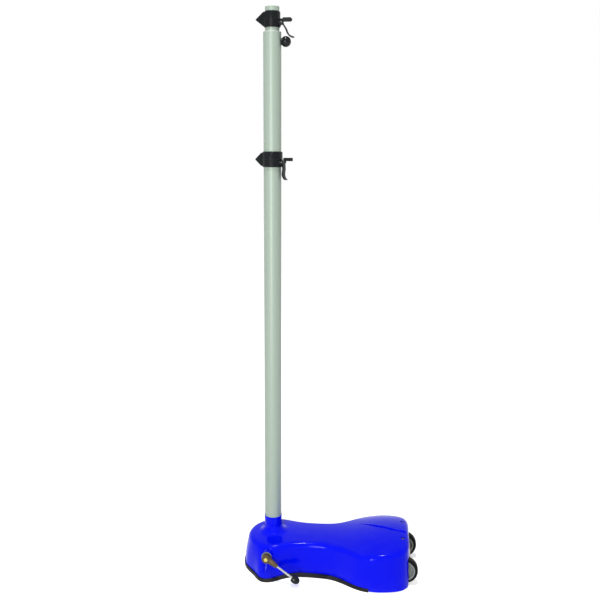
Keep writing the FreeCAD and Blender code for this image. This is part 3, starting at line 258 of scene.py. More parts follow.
# ---------------------------------------------------------------- shared surface effects
class SurfaceEffects:
    """Shader groups that several finishes share."""

    COLOUR = ("NodeSocketColor", (0.5, 0.5, 0.5, 1))
    ROUGHNESS = ("NodeSocketFloat", 0.4)
    SURFACE = {"Colour": "NodeSocketColor", "Roughness": "NodeSocketFloat"}
    CLOUD_DETAIL = 3.0
    CLOUD_SPAN = (0.3, 0.7)
    CLOUD_SHARE = 0.7
    GRAIN_DETAIL = 2.0
    GRAIN_SHARE = 0.3
    WEAR_REACH = 0.0008
    WEAR_SAMPLES = 4
    WEAR_EDGE_SPAN = (0.99, 0.90)
    WEAR_PATCH_SCALE = 90.0
    WEAR_PATCH_DETAIL = 4.0
    WEAR_PATCH_SPAN = (0.35, 0.65)
    DUST_PATCH_SCALE = 28.0
    DUST_PATCH_DETAIL = 6.0
    DUST_PATCH_SPAN = (0.3, 0.75)
    DUST_FACING_SPAN = (0.6, 1.0)
    DUST_COLOUR = (0.5, 0.48, 0.45, 1)
    FLOOR_DUST_HEIGHT = 0.05
    FLOOR_DUST = 0.8
    LEVEL_DUST = 0.5
    DUST_ROUGHNESS = 0.4

    def __init__(self) -> None:
        """Builds every group once."""
        self.skin = self._skin()
        self.wear = self._wear()
        self.dust = self._dust()

    def _skin(self) -> bpy.types.NodeTree:
        """Uneven colour, gloss and relief of a skin, stretched as the maker's process leaves it.

        Returns:
            The group.
        """
        graph, given, result = new_group(
            "uneven_skin", "ShaderNodeTree",
            {"Colour": self.COLOUR, "Depth": ("NodeSocketFloat", 0.1),
             "Cloud Scale": ("NodeSocketFloat", 8.0), "Grain Scale": ("NodeSocketFloat", 400.0),
             "Stretch": ("NodeSocketVector", (1, 1, 1)), "Roughness": self.ROUGHNESS,
             "Spread": ("NodeSocketFloat", 0.1)},
            {**self.SURFACE, "Height": "NodeSocketFloat"})
        stretch = {"Vector": graph.place(), "Scale": given["Stretch"]}
        drawn = graph.add("ShaderNodeMapping", stretch).outputs[0]
        cloud = graph.noise(drawn, given["Cloud Scale"], self.CLOUD_DETAIL)
        grain = graph.noise(drawn, given["Grain Scale"], self.GRAIN_DETAIL)
        clouds = graph.math("MULTIPLY", graph.ramp(cloud, *self.CLOUD_SPAN), self.CLOUD_SHARE)
        both = graph.math("ADD", clouds, graph.math("MULTIPLY", grain, self.GRAIN_SHARE))
        brightness = graph.math("SUBTRACT", 1.0, graph.math("MULTIPLY", both, given["Depth"]))
        scaling = {0: given["Colour"], "Scale": brightness}
        colour = graph.add("ShaderNodeVectorMath", scaling, operation="SCALE").outputs[0]
        graph.feed(colour, result["Colour"])
        swing = graph.math("MULTIPLY", graph.math("SUBTRACT", both, 0.5), given["Spread"])
        graph.feed(graph.math("ADD", given["Roughness"], swing, clamp=True), result["Roughness"])
        graph.feed(grain, result["Height"])
        return graph.tree

    def _wear(self) -> bpy.types.NodeTree:
        """Rubbed edges, broken up by noise.

        Returns:
            The group.
        """
        graph, given, result = new_group(
            "edge_wear", "ShaderNodeTree",
            {"Colour": self.COLOUR, "Worn Colour": ("NodeSocketColor", (0.8, 0.8, 0.8, 1)),
             "Amount": ("NodeSocketFloat", 0.4), "Roughness": self.ROUGHNESS,
             "Worn Roughness": ("NodeSocketFloat", 0.3)},
            self.SURFACE)
        patches = graph.noise(graph.place(), self.WEAR_PATCH_SCALE, self.WEAR_PATCH_DETAIL)
        reach = {"Radius": self.WEAR_REACH}
        rounded = graph.add("ShaderNodeBevel", reach, samples=self.WEAR_SAMPLES).outputs[0]
        flat = graph.add("ShaderNodeNewGeometry").outputs["Normal"]
        edges = graph.ramp(graph.dot(rounded, flat), *self.WEAR_EDGE_SPAN)
        rubbed = graph.math("MULTIPLY", edges, graph.ramp(patches, *self.WEAR_PATCH_SPAN))
        mask = graph.math("MULTIPLY", rubbed, given["Amount"], clamp=True)
        graph.feed(graph.mix(mask, given["Colour"], given["Worn Colour"]), result["Colour"])
        change = graph.math("SUBTRACT", given["Worn Roughness"], given["Roughness"])
        roughness = graph.math("MULTIPLY_ADD", change, mask, given["Roughness"])
        graph.feed(roughness, result["Roughness"])
        return graph.tree

    def _dust(self) -> bpy.types.NodeTree:
        """Hall dust that settles on level surfaces and near the floor.

        Returns:
            The group.
        """
        graph, given, result = new_group(
            "hall_dust", "ShaderNodeTree",
            {"Colour": self.COLOUR, "Dust Colour": ("NodeSocketColor", self.DUST_COLOUR),
             "Amount": ("NodeSocketFloat", 0.2), "Roughness": self.ROUGHNESS},
            self.SURFACE)
        place = graph.place()
        facing = graph.upright(graph.add("ShaderNodeNewGeometry").outputs["Normal"])
        low = graph.ramp(graph.upright(place), 0.0, self.FLOOR_DUST_HEIGHT, self.FLOOR_DUST, 0.0)
        level = graph.math("MULTIPLY", graph.ramp(facing, *self.DUST_FACING_SPAN), self.LEVEL_DUST)
        noise = graph.noise(place, self.DUST_PATCH_SCALE, self.DUST_PATCH_DETAIL)
        patches = graph.ramp(noise, *self.DUST_PATCH_SPAN)
        fallen = graph.math("MULTIPLY", graph.math("ADD", low, level), patches)
        mask = graph.math("MULTIPLY", fallen, given["Amount"], clamp=True)
        graph.feed(graph.mix(mask, given["Colour"], given["Dust Colour"]), result["Colour"])
        roughness = graph.math("MULTIPLY_ADD", mask, self.DUST_ROUGHNESS, given["Roughness"],
                               clamp=True)
        graph.feed(roughness, result["Roughness"])
        return graph.tree


@dataclass(frozen=True)
class Finish:
    """One surface finish, from its bare colour to its wear."""

    colour: Colour
    roughness: float
    metallic: float = 0.0
    specular: float = 0.5
    depth: float = 0.12
    spread: float = 0.12
    cloud_scale: float = 9.0
    grain_scale: float = 500.0
    stretch: Colour = (1.0, 1.0, 1.0)
    relief: float = 0.15
    relief_height: float = 0.0004
    worn_colour: Colour = (0.6, 0.6, 0.6)
    worn_roughness: float = 0.35
    wear: float = 0.0
    dust: float = 0.0

    def build(self, name: str, effects: SurfaceEffects) -> bpy.types.Material:
        """Makes the material.

        Args:
            name: The material's name.
            effects: The shared shader groups.

        Returns:
            The new material.
        """
        material = bpy.data.materials.new(name)
        material.use_nodes = True
        graph = Graph(material.node_tree)
        shader = material.node_tree.nodes["Principled BSDF"]
        skin = graph.add("ShaderNodeGroup", {
            "Colour": (*self.colour, 1.0), "Depth": self.depth, "Cloud Scale": self.cloud_scale,
            "Grain Scale": self.grain_scale, "Stretch": self.stretch, "Roughness": self.roughness,
            "Spread": self.spread}, node_tree=effects.skin).outputs
        wear = graph.add("ShaderNodeGroup", {
            "Colour": skin["Colour"], "Roughness": skin["Roughness"], "Amount": self.wear,
            "Worn Colour": (*self.worn_colour, 1.0), "Worn Roughness": self.worn_roughness},
            node_tree=effects.wear).outputs
        dust = graph.add("ShaderNodeGroup", {
            "Colour": wear["Colour"], "Roughness": wear["Roughness"], "Amount": self.dust},
            node_tree=effects.dust).outputs
        bump = graph.add("ShaderNodeBump", {
            "Strength": self.relief, "Distance": self.relief_height,
            "Height": skin["Height"]}).outputs[0]
        for key, value in {"Base Color": dust["Colour"], "Roughness": dust["Roughness"],
                           "Metallic": self.metallic, "Specular IOR Level": self.specular,
                           "Normal": bump}.items():
            graph.feed(value, shader.inputs[key])
        return material


FINISHES: dict[str, Finish] = {
    "cover_blue": Finish(
        (0.0, 0.004, 0.89), 0.09, specular=0.08, depth=0.05, spread=0.05, cloud_scale=4.0,
        grain_scale=300.0, relief=0.04, worn_colour=(0.02, 0.05, 0.95), wear=0.3, dust=0.02),
    "mat_rubber": Finish(
        (0.006, 0.006, 0.007), 0.50, specular=0.12, depth=0.2, grain_scale=1500.0, relief=0.12,
        worn_colour=(0.10, 0.11, 0.11), wear=0.6, dust=0.06),
    "pad_rubber": Finish((0.020, 0.020, 0.020), 0.70, grain_scale=1200.0, relief=0.3, dust=0.2),
    "plate_steel": Finish(
        (0.030, 0.030, 0.034), 0.45, grain_scale=350.0, relief=0.2,
        worn_colour=(0.35, 0.34, 0.33), wear=0.5, dust=0.3),
    "cast_ballast": Finish(
        (0.075, 0.074, 0.076), 0.72, metallic=0.6, depth=0.4, grain_scale=260.0, relief=0.9,
        worn_colour=(0.30, 0.24, 0.18), wear=0.6, dust=0.35),
    "zinc_steel": Finish(
        (0.34, 0.33, 0.30), 0.42, metallic=1.0, depth=0.22, spread=0.2, cloud_scale=60.0,
        relief=0.12, worn_colour=(0.45, 0.42, 0.38), wear=0.3),
    "bracket_zinc": Finish(
        (0.60, 0.52, 0.36), 0.40, metallic=0.85, depth=0.25, spread=0.2, cloud_scale=45.0,
        relief=0.12, worn_colour=(0.42, 0.38, 0.32), wear=0.3, dust=0.15),
    "bright_steel": Finish(
        (0.36, 0.37, 0.35), 0.26, metallic=1.0, depth=0.10, grain_scale=900.0, relief=0.05),
    "mast_aluminium": Finish(
        (0.40, 0.49, 0.41), 0.40, metallic=0.10, specular=0.45, depth=0.05, spread=0.08,
        cloud_scale=14.0, grain_scale=700.0, stretch=(1.0, 1.0, 0.02), relief=0.05,
        worn_colour=(0.55, 0.62, 0.55), wear=0.2),
    "hub_bronze": Finish(
        (0.100, 0.066, 0.030), 0.42, metallic=0.6, depth=0.3, cloud_scale=90.0,
        grain_scale=900.0, relief=0.3, worn_colour=(0.34, 0.26, 0.12), wear=0.6),
    "screw_brass": Finish(
        (0.66, 0.56, 0.14), 0.30, metallic=0.9, relief=0.08,
        worn_colour=(0.75, 0.68, 0.30), wear=0.3),
    "washer_grey": Finish(
        (0.17, 0.18, 0.19), 0.42, metallic=0.2, worn_colour=(0.4, 0.4, 0.4), wear=0.4),
    "black_nylon": Finish(
        (0.003, 0.005, 0.006), 0.40, specular=0.16, depth=0.15, spread=0.06,
        grain_scale=2600.0, relief=0.04, worn_colour=(0.05, 0.055, 0.07), wear=0.6, dust=0.02),
    "black_bakelite": Finish(
        (0.003, 0.005, 0.006), 0.16, specular=0.24, depth=0.1, spread=0.04,
        grain_scale=900.0, relief=0.02, worn_colour=(0.04, 0.04, 0.04), wear=0.3),
    "plug_pale": Finish((0.66, 0.69, 0.66), 0.45, depth=0.08, grain_scale=800.0, relief=0.12),
    "tyre_black": Finish(
        (0.004, 0.005, 0.004), 0.55, specular=0.08, depth=0.2, grain_scale=1800.0, relief=0.12,
        worn_colour=(0.05, 0.05, 0.05), wear=0.5, dust=0.08),
    "wheel_grey": Finish(
        (0.24, 0.26, 0.245), 0.42, depth=0.10, grain_scale=900.0, relief=0.08,
        worn_colour=(0.18, 0.19, 0.18), wear=0.3, dust=0.08),
}
# Metal pieces whose surface is black.
BLACKENED: dict[str, str] = {"top_peg_stud": "black_nylon"}


@dataclass(frozen=True)
class Rounding:
    """Rounding of a piece's hard edges."""

    width: float
    facets: int = 2


ROUNDINGS: dict[str, Rounding] = {
    "ballast_nuts": Rounding(0.0006),
    "socket_bolts": Rounding(0.0004),
    "bracket_bolts": Rounding(0.0004),
    "axle_bracket": Rounding(0.0008, 3),
    "lever_washer": Rounding(0.0004),
    "lever_hub": Rounding(0.0012, 3),
    "hub_screw": Rounding(0.0008, 3),
    "axle_caps": Rounding(0.0008, 3),
    "wheel_spacers": Rounding(0.0005),
    "guide_bush": Rounding(0.0004),
    "inner_cap": Rounding(0.0006),
    "knob_insert": Rounding(0.0006),
    "middle_collar": Rounding(0.0005),
    "middle_lever": Rounding(0.0008, 3),
    "middle_lever_pin": Rounding(0.0003),
    "top_collar": Rounding(0.0005),
    "top_lever": Rounding(0.0008, 3),
    "top_lever_pin": Rounding(0.0003),
}


# ---------------------------------------------------------------- mesh making
def linked(name: str, mesh: bpy.types.Mesh) -> bpy.types.Object:
    """Puts a mesh into the scene as an object at the origin.

    Args:
        name: The object's name.
        mesh: Its mesh.

    Returns:
        The new object.
    """
    piece = bpy.data.objects.new(name, mesh)
    bpy.context.scene.collection.objects.link(piece)
    return piece


def settle(piece: bpy.types.Object) -> None:
    """Applies every modifier and leaves a plain mesh at the origin.

    Args:
        piece: The object to settle.
    """
    bpy.context.view_layer.update()
    evaluated = piece.evaluated_get(bpy.context.evaluated_depsgraph_get())
    made = bpy.data.meshes.new_from_object(evaluated)
    piece.modifiers.clear()
    piece.data = made
    piece.data.transform(piece.matrix_world)
    piece.matrix_world = Matrix.Identity(4)


def shade(piece: bpy.types.Object) -> None:
    """Smooth shading that stays sharp at hard edges.

    Args:
        piece: The object to shade.
    """
    mesh = piece.data
    mesh.polygons.foreach_set("use_smooth", [True] * len(mesh.polygons))
    mesh.set_sharp_from_angle(angle=SHARP_EDGE)


def arc_angles(step: int, last: int) -> list[float]:
    """Evenly spaced angles from zero.

    Args:
        step: Their spacing in degrees.
        last: The last angle in degrees.

    Returns:
        The angles in radians.
    """
    return [math.radians(turn) for turn in range(0, last + 1, step)]


def face_outwards(mesh: bpy.types.Mesh) -> None:
    """Turns the faces of a closed mesh outwards.

    Args:
        mesh: The mesh.
    """
    form = bmesh.new()
    form.from_mesh(mesh)
    bmesh.ops.recalc_face_normals(form, faces=form.faces)
    form.to_mesh(mesh)
    form.free()


def lathe(name: str, profile: Profile, start: Vector, direction: Direction,
          steps: int) -> bpy.types.Object:
    """Turned piece.

    Args:
        name: The piece's name.
        profile: (distance along the axis, radius) points; an open profile ends on the axis.
        start: Where the axis starts.
        direction: Where the axis points.
        steps: Facets round the axis.

    Returns:
        The new object.
    """
    corners: list[tuple[float, float, float]] = []
    rings: list[list[int]] = []
    for along, radius in profile:
        count = steps if radius > 0 else 1
        rings.append([len(corners) + i % count for i in range(steps + 1)])
        turns = [math.tau * i / steps for i in range(count)]
        corners += [(radius * math.cos(turn), radius * math.sin(turn), along) for turn in turns]
    pairs = list(zip(rings, rings[1:]))
    if profile[0][1] > 0 and profile[-1][1] > 0:
        pairs.append((rings[-1], rings[0]))
    faces = [tuple(dict.fromkeys((first[i], second[i], second[i + 1], first[i + 1])))
             for first, second in pairs for i in range(steps)]
    mesh = bpy.data.meshes.new(name)
    mesh.from_pydata(corners, [], faces)
    mesh.transform(Matrix.Translation(start) @ direction.turn())
    face_outwards(mesh)
    piece = linked(name, mesh)
    shade(piece)
    return piece


def cut_by(piece: bpy.types.Object, tool: bpy.types.Object) -> None:
    """Cuts a tool's volume out of a piece and removes the tool.

    Args:
        piece: The piece to cut.
        tool: The closed mesh that is taken away.
    """
    cut = piece.modifiers.new("cut", "BOOLEAN")
    cut.operation = "DIFFERENCE"
    cut.solver = "EXACT"
    cut.object = tool
    settle(piece)
    bpy.data.objects.remove(tool)
    shade(piece)


def bar(name: str, low: Vector, high: Vector) -> bpy.types.Object:
    """Plain block, used as a cutting tool.

    Args:
        name: The object's name.
        low: Lowest corner.
        high: Highest corner.

    Returns:
        The new object.
    """
    mesh = bpy.data.meshes.new(name)
    form = bmesh.new()
    bmesh.ops.create_cube(form, size=1.0)
    form.to_mesh(mesh)
    form.free()
    size = high - low
    mesh.transform(Matrix.Translation((low + high) / 2) @ Matrix.Diagonal((*size, 1.0)))
    return linked(name, mesh)


def joined(name: str, parts: Sequence[bpy.types.Object]) -> bpy.types.Object:
    """Joins several meshes into one.

    Args:
        name: The new object's name.
        parts: The objects, which are removed.

    Returns:
        The new object.
    """
    form = bmesh.new()
    for part in parts:
        form.from_mesh(part.data)
        bpy.data.objects.remove(part)
    mesh = bpy.data.meshes.new(name)
    form.to_mesh(mesh)
    form.free()
    piece = linked(name, mesh)
    shade(piece)
    return piece


# ---------------------------------------------------------------- sizes of the solids
def middle_of(node: str) -> Vector:
    """Centre of a solid's box.

    Args:
        node: The solid's name.

    Returns:
        The centre.
    """
    low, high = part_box(node)
    return (low + high) / 2


def half_sizes(box: tuple[Vector, Vector]) -> tuple[float, float, float]:
    """Half of a box along each axis, such as the radius of a round piece.

    Args:
        box: The lowest and the highest corner.

    Returns:
        Half the length, half the breadth and half the height.
    """
    low, high = box
    return (high.x - low.x) / 2, (high.y - low.y) / 2, (high.z - low.z) / 2


# ---------------------------------------------------------------- geometry trees
class Patterns:
    """Geometry trees for whatever repeats or follows a path."""

    FACETS_PER_TURN = 24
    RIDGE_SIDES = 4
    RIDGE_SHARE = 0.42
    DROP_SUBDIVISIONS = 2
    SMALLEST_DROP = 0.85
    LARGEST_DROP = 1.1

    def __init__(self) -> None:
        """Builds every tree once."""
        self.thread = self._thread()
        self.weld = self._weld()

    @staticmethod
    def _finish(graph: Graph, given: Any, result: Any,
                geometry: bpy.types.NodeSocket) -> bpy.types.NodeTree:
        """Ends a tree in real meshes with their material.

        Args:
            graph: The tree's graph.
            given: The input node's sockets.
            result: The output node's sockets.
            geometry: What the tree has made.

        Returns:
            The finished tree.
        """
        real = graph.add("GeometryNodeRealizeInstances", {0: geometry}).outputs[0]
        smooth = graph.add("GeometryNodeSetShadeSmooth", {0: real}).outputs[0]
        dressed = {"Geometry": smooth, "Material": given["Material"]}
        graph.feed(graph.add("GeometryNodeSetMaterial", dressed).outputs[0], result["Geometry"])
        return graph.tree

    def _thread(self) -> bpy.types.NodeTree:
        """Rolled thread: a pointed ridge along a helix up the Z axis.

        Returns:
            The tree.
        """
        graph, given, result = new_group(
            "thread_ridge", "GeometryNodeTree",
            {"Geometry": ("NodeSocketGeometry", None), "Root Radius": ("NodeSocketFloat", 0.004),
             "Turns": ("NodeSocketFloat", 6.0), "Pitch": ("NodeSocketFloat", 0.0012),
             "Material": ("NodeSocketMaterial", None)},
            {"Geometry": "NodeSocketGeometry"})
        helix = graph.add("GeometryNodeCurveSpiral", {
            "Resolution": self.FACETS_PER_TURN, "Rotations": given["Turns"],
            "Start Radius": given["Root Radius"], "End Radius": given["Root Radius"],
            "Height": graph.math("MULTIPLY", given["Turns"], given["Pitch"])}).outputs[0]
        level = graph.add("GeometryNodeSetCurveNormal", {"Curve": helix}, mode="Z_UP").outputs[0]
        ridge = graph.add("GeometryNodeCurvePrimitiveCircle", {
            "Resolution": self.RIDGE_SIDES,
            "Radius": graph.math("MULTIPLY", given["Pitch"], self.RIDGE_SHARE)},
            mode="RADIUS").outputs[0]
        sweep = graph.add("GeometryNodeCurveToMesh", {
            "Curve": level, "Profile Curve": ridge, "Fill Caps": True}).outputs[0]
        return self._finish(graph, given, result, sweep)

    def _weld(self) -> bpy.types.NodeTree:
        """Weld bead: overlapping drops round the Z axis.

        Returns:
            The tree.
        """
        graph, given, result = new_group(
            "weld_bead", "GeometryNodeTree",
            {"Geometry": ("NodeSocketGeometry", None), "Radius": ("NodeSocketFloat", 0.03),
             "Drop Radius": ("NodeSocketFloat", 0.0025), "Count": ("NodeSocketInt", 72),
             "Seed": ("NodeSocketInt", 3), "Material": ("NodeSocketMaterial", None)},
            {"Geometry": "NodeSocketGeometry"})
        circle = graph.add("GeometryNodeMeshCircle", {
            "Vertices": given["Count"], "Radius": given["Radius"]}).outputs[0]
        drop = graph.add("GeometryNodeMeshIcoSphere", {
            "Radius": given["Drop Radius"], "Subdivisions": self.DROP_SUBDIVISIONS}).outputs[0]
        uneven = graph.add("FunctionNodeRandomValue", {
            "Min": self.SMALLEST_DROP, "Max": self.LARGEST_DROP, "Seed": given["Seed"]},
            data_type="FLOAT").outputs["Value"]
        bead = graph.add("GeometryNodeInstanceOnPoints", {
            "Points": circle, "Instance": drop, "Scale": uneven}).outputs[0]
        return self._finish(graph, given, result, bead)

    @staticmethod
    def grow(name: str, tree: bpy.types.NodeTree, place: Matrix, **values: Any) -> bpy.types.Object:
        """Turns a tree into a plain mesh in its place.

        Args:
            name: The piece's name.
            tree: The geometry tree.
            place: Where the tree's own frame goes.
            **values: Inputs of the tree, by name with underscores for spaces.

        Returns:
            The new object, without modifiers.
        """
        piece = linked(name, bpy.data.meshes.new(name))
        pattern = piece.modifiers.new("pattern", "NODES")
        pattern.node_group = tree
        sockets = [item for item in tree.interface.items_tree if item.in_out == "INPUT"]
        identifiers = {socket.name: socket.identifier for socket in sockets}
        for key, value in values.items():
            pattern[identifiers[key.replace("_", " ")]] = value
        settle(piece)
        piece.data.transform(place)
        shade(piece)
        return piece


# ---------------------------------------------------------------- the workshop
class Workshop:
    """Holds the frame, the finishes and the patterns, and hands pieces over to their bodies."""

    MERGE_DISTANCE = 2e-6
    FLAT_ANGLE = math.radians(0.6)
    HARD_EDGE = math.radians(32.0)

    def __init__(self) -> None:
        """Loads the frame and builds every finish."""
        self.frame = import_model()
        effects = SurfaceEffects()
        self.patterns = Patterns()
        self.finishes = {name: finish.build(name, effects) for name, finish in FINISHES.items()}
        record = self.frame["record"]
        self.slots = {part["node"]: part["material_slot"] for part in record["subparts"]}
        bodies = record["behaviour"]["bodies"]
        self.bodies = {node: body for body, nodes in bodies.items() for node in nodes}

    def dress(self, *nodes: str) -> None:
        """Gives carried-over solids their finish.

        Args:
            *nodes: Names of the solids.
        """
        for node in nodes:
            solid = self.frame["nodes"][node]
            finish = self.finishes[BLACKENED.get(node, self.slots[node])]
            for slot in solid.material_slots:
                slot.material = finish
            LOG.info("dressed %s in %s", node, finish.name)

    def hand_over(self, piece: bpy.types.Object, body: str, slot: str, *replaced: str) -> None:
        """Finishes a made piece and lets it ride on its body.

        Args:
            piece: The made piece.
            body: The body that it rides on.
            slot: The finish's name.
            *replaced: Solids that it stands for.
        """
        piece.data.materials.clear()
        piece.data.materials.append(self.finishes[slot])
        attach(piece, body)
        if replaced:
            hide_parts(*replaced)
        LOG.info("made %s on %s", piece.name, body)

    def merged(self, node: str, name: str) -> bpy.types.Object:
        """Copy of a solid with its loose triangles joined and its flat faces made whole.

        Args:
            node: The solid's name.
            name: The copy's name.

        Returns:
            The new object.
        """
        mesh = self.frame["nodes"][node].data.copy()
        form = bmesh.new()
        form.from_mesh(mesh)
        bmesh.ops.remove_doubles(form, verts=form.verts, dist=self.MERGE_DISTANCE)
        bmesh.ops.dissolve_limit(form, angle_limit=self.FLAT_ANGLE, verts=form.verts,
                                 edges=form.edges)
        form.to_mesh(mesh)
        form.free()
        return linked(name, mesh)

    def soften(self, *nodes: str) -> None:
        """Replaces solids by copies with rounded edges.

        Args:
            *nodes: Names of the solids.
        """
        for node in nodes:
            piece = self.merged(node, node + "_form")
            bevel = piece.modifiers.new("edges", "BEVEL")
            bevel.width = ROUNDINGS[node].width
            bevel.segments = ROUNDINGS[node].facets
            bevel.limit_method = "ANGLE"
            bevel.angle_limit = self.HARD_EDGE
            settle(piece)
            shade(piece)
            self.hand_over(piece, self.bodies[node], self.slots[node], node)


@dataclass(frozen=True)
class CrossHead:
    """Pan-headed screw with a cross recess."""

    radius: float
    height: float
    shank_radius: float
    rim_share: float = 0.35
    point_share: float = 0.8
    arm_share: float = 0.5
    blade_share: float = 0.11
    recess_share: float = 0.7
    facets: int = 40

    def build(self, name: str, seat: Vector, shank_end: float) -> bpy.types.Object:
        """Makes the screw upright.

        Args:
            name: The screw's name.
            seat: Middle of the seat under the head.
            shank_end: Height of the shank's lower end.

        Returns:
            The new object.
        """
        rise = 1.0 - self.rim_share
        dome = [(seat.z + self.height * (self.rim_share + rise * math.sin(a)),
                 self.radius * (self.rim_share + rise * math.cos(a))) for a in arc_angles(15, 90)]
        top = seat.z + self.height
        shank = self.shank_radius
        profile = [(shank_end, 0.0), (shank_end, shank * self.point_share),
                   (shank_end + shank / 2, shank), (seat.z, shank), (seat.z, self.radius),
                   *dome, (top, 0.0)]
        screw = lathe(name, profile, Vector((seat.x, seat.y, 0)), Direction.UP, self.facets)
        arm, blade = self.radius * self.arm_share, self.radius * self.blade_share
        crown = Vector((seat.x, seat.y, top))
        for length, breadth in ((arm, blade), (blade, arm)):
            half = Vector((length, breadth, self.height * self.recess_share))
            cut_by(screw, bar("recess", crown - half, crown + half))
        return screw


# ---------------------------------------------------------------- sub-assemblies
@dataclass
class WeightedBase:
    """Mat, ballast, socket and cover."""

    shop: Workshop
    screw_head_height: float = 0.0026
    screw_shank_radius: float = 0.0025
    socket_wall: float = 0.0051
    weld_drop: float = 0.0022
    weld_rise_share: float = 0.3
    weld_drops: int = 96
    weld_seed: int = 5
    thread_pitch: float = 0.00175
    thread_turns: float = 5.0
    thread_sink_share: float = 0.40

    def build(self) -> None:
        """Dresses the solids and adds screws, welds and threads."""
        self.shop.dress("base_cover", "base_mat", "base_plate", "ballast_lower", "ballast_upper",
                        "mat_screws", "ballast_studs", "foot_pad", "clamp_boss", "mast_socket",
                        "cover_posts", "socket_gussets")
        self.shop.soften("ballast_nuts", "socket_bolts", "bracket_bolts", "axle_bracket",
                         "lever_washer")
        self.cover_screws()
        self.socket_weld()
        self.stud_threads()

    def cover_screws(self) -> None:
        """Cross-headed screws in the cover's recesses."""
        low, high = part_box("cover_screws")
        radius = (high.x - low.x) / 2
        head = CrossHead(radius, self.screw_head_height, self.screw_shank_radius)
        seats = [Vector(((low.x + high.x) / 2, y, high.z - self.screw_head_height))
                 for y in (low.y + radius, high.y - radius)]
        screws = [head.build("cover_screw", seat, low.z) for seat in seats]
        self.shop.hand_over(joined("cover_screws_form", screws), "base",
                            self.shop.slots["cover_screws"], "cover_screws")

    def socket_weld(self) -> None:
        """Bead round the foot of the mast socket."""
        flange_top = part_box("socket_gussets")[0].z
        bore = half_sizes(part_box("foot_pad"))[0]
        place = Matrix.Translation((0, 0, flange_top + self.weld_drop * self.weld_rise_share))
        bead = self.shop.patterns.grow(
            "socket_weld", self.shop.patterns.weld, place, Radius=bore + self.socket_wall,
            Drop_Radius=self.weld_drop, Count=self.weld_drops, Seed=self.weld_seed,
            Material=self.shop.finishes["plate_steel"])
        self.shop.hand_over(bead, "base", "plate_steel")

    def stud_threads(self) -> None:
        """Rolled threads on the ends of the ballast studs, above their nuts."""
        low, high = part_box("ballast_studs")
        radius = (high.y - low.y) / 2
        foot = high.z - self.thread_turns * self.thread_pitch - self.thread_pitch
        for side, x in (("front", low.x + radius), ("rear", high.x - radius)):
            thread = self.shop.patterns.grow(
                "stud_thread_" + side, self.shop.patterns.thread, Matrix.Translation((x, 0, foot)),
                Root_Radius=radius - self.thread_pitch * self.thread_sink_share,
                Turns=self.thread_turns, Pitch=self.thread_pitch,
                Material=self.shop.finishes["zinc_steel"])
            self.shop.hand_over(thread, "base", "zinc_steel")


@dataclass
class ClampLever:
    """Lever on the base that clamps the mast, with its spindle and pad."""

    shop: Workshop

    def build(self) -> None:
        """Rounds the cast hub and its screw, and dresses the rest."""
        self.shop.soften("lever_hub", "hub_screw")
        self.shop.dress("lever_rod", "lever_knob", "clamp_spindle", "clamp_pad")


@dataclass
class TransportWheel:
    """One wheel: tyre, moulded hub and bush."""

    shop: Workshop
    side: str
    facets: int = 96
    shoulder: float = 0.0045
    sidewall_step: float = 0.0006
    sidewall_step_width: float = 0.0012
    web_half: float = 0.003
    boss_radius: float = 0.013
    rim_depth: float = 0.004
    lip: float = 0.001
    fillet: float = 0.0006
    ring_height: float = 0.0012
    ring_half: float = 0.0008
    ring_shares: tuple[float, ...] = (0.30, 0.72)

    def build(self) -> None:
        """Makes the tyre and the hub, and dresses the bush."""
        self.shop.dress("wheel_bush_" + self.side)
        self.tyre()
        self.hub()

    def form(self, node: str, side: Profile, slot: str) -> None:
        """Turns a piece that is alike on both sides, in the place of its solid.

        Args:
            node: The solid's name.
            side: The profile from the bore to the rim, on one side.
            slot: The finish's name.
        """
        profile = side + [(-along, radius) for along, radius in reversed(side)]
        piece = lathe(node + "_form", profile, middle_of(node), Direction.ACROSS, self.facets)
        self.shop.hand_over(piece, "wheel_" + self.side, slot, node)

    @staticmethod
    def quarter(along: float, radius: float, size: float, outwards: bool) -> Profile:
        """Rounded corner of a profile, from the wheel's face to a cylinder.

        Args:
            along: Place of the face along the axis.
            radius: Radius of the cylinder.
            size: The corner's radius.
            outwards: Whether the corner lies on the outside of its piece.

        Returns:
            The corner's points.
        """
        sign = 1 if outwards else -1
        return [(along - size * (1 - math.cos(a)), radius - sign * size * (1 - math.sin(a)))
                for a in arc_angles(15, 90)]

    def tyre(self) -> None:
        """Smooth tyre with rounded shoulders and a fine step in each sidewall."""
        node = "tyre_" + self.side
        _, half, radius = half_sizes(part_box(node))
        inner = half_sizes(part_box("wheel_hub_" + self.side))[2] + FIT
        step = inner + (radius - self.shoulder - inner) / 2
        sunk = half - self.sidewall_step
        face = [(sunk, inner), (sunk, step), (half, step + self.sidewall_step_width)]
        self.form(node, face + self.quarter(half, radius, self.shoulder, True), "tyre_black")

    def ring(self, centre: float) -> Profile:
        """Round-topped ring on the hub's web.

        Args:
            centre: The ring's radius.

        Returns:
            The ring's points, inside first.
        """
        return [(self.web_half + self.ring_height * math.sin(a), centre - self.ring_half * math.cos(a))
                for a in arc_angles(30, 180)]

    def hub(self) -> None:
        """Moulded hub with a boss, a ringed web and a lipped rim."""
        node = "wheel_hub_" + self.side
        _, half, radius = half_sizes(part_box(node))
        bore = half_sizes(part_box("wheel_bush_" + self.side))[2] + FIT
        inside = radius - self.rim_depth
        edge = half - self.lip
        side = [(half, bore)] + self.quarter(half, self.boss_radius, self.fillet, True)
        side.append((self.web_half, self.boss_radius))
        for share in self.ring_shares:
            side += self.ring(self.boss_radius + share * (inside - self.boss_radius))
        side.append((self.web_half, inside))
        side += list(reversed(self.quarter(edge, inside, self.fillet, False)))
        side += self.quarter(edge, radius, self.fillet, True)
        self.form(node, side, "wheel_grey")


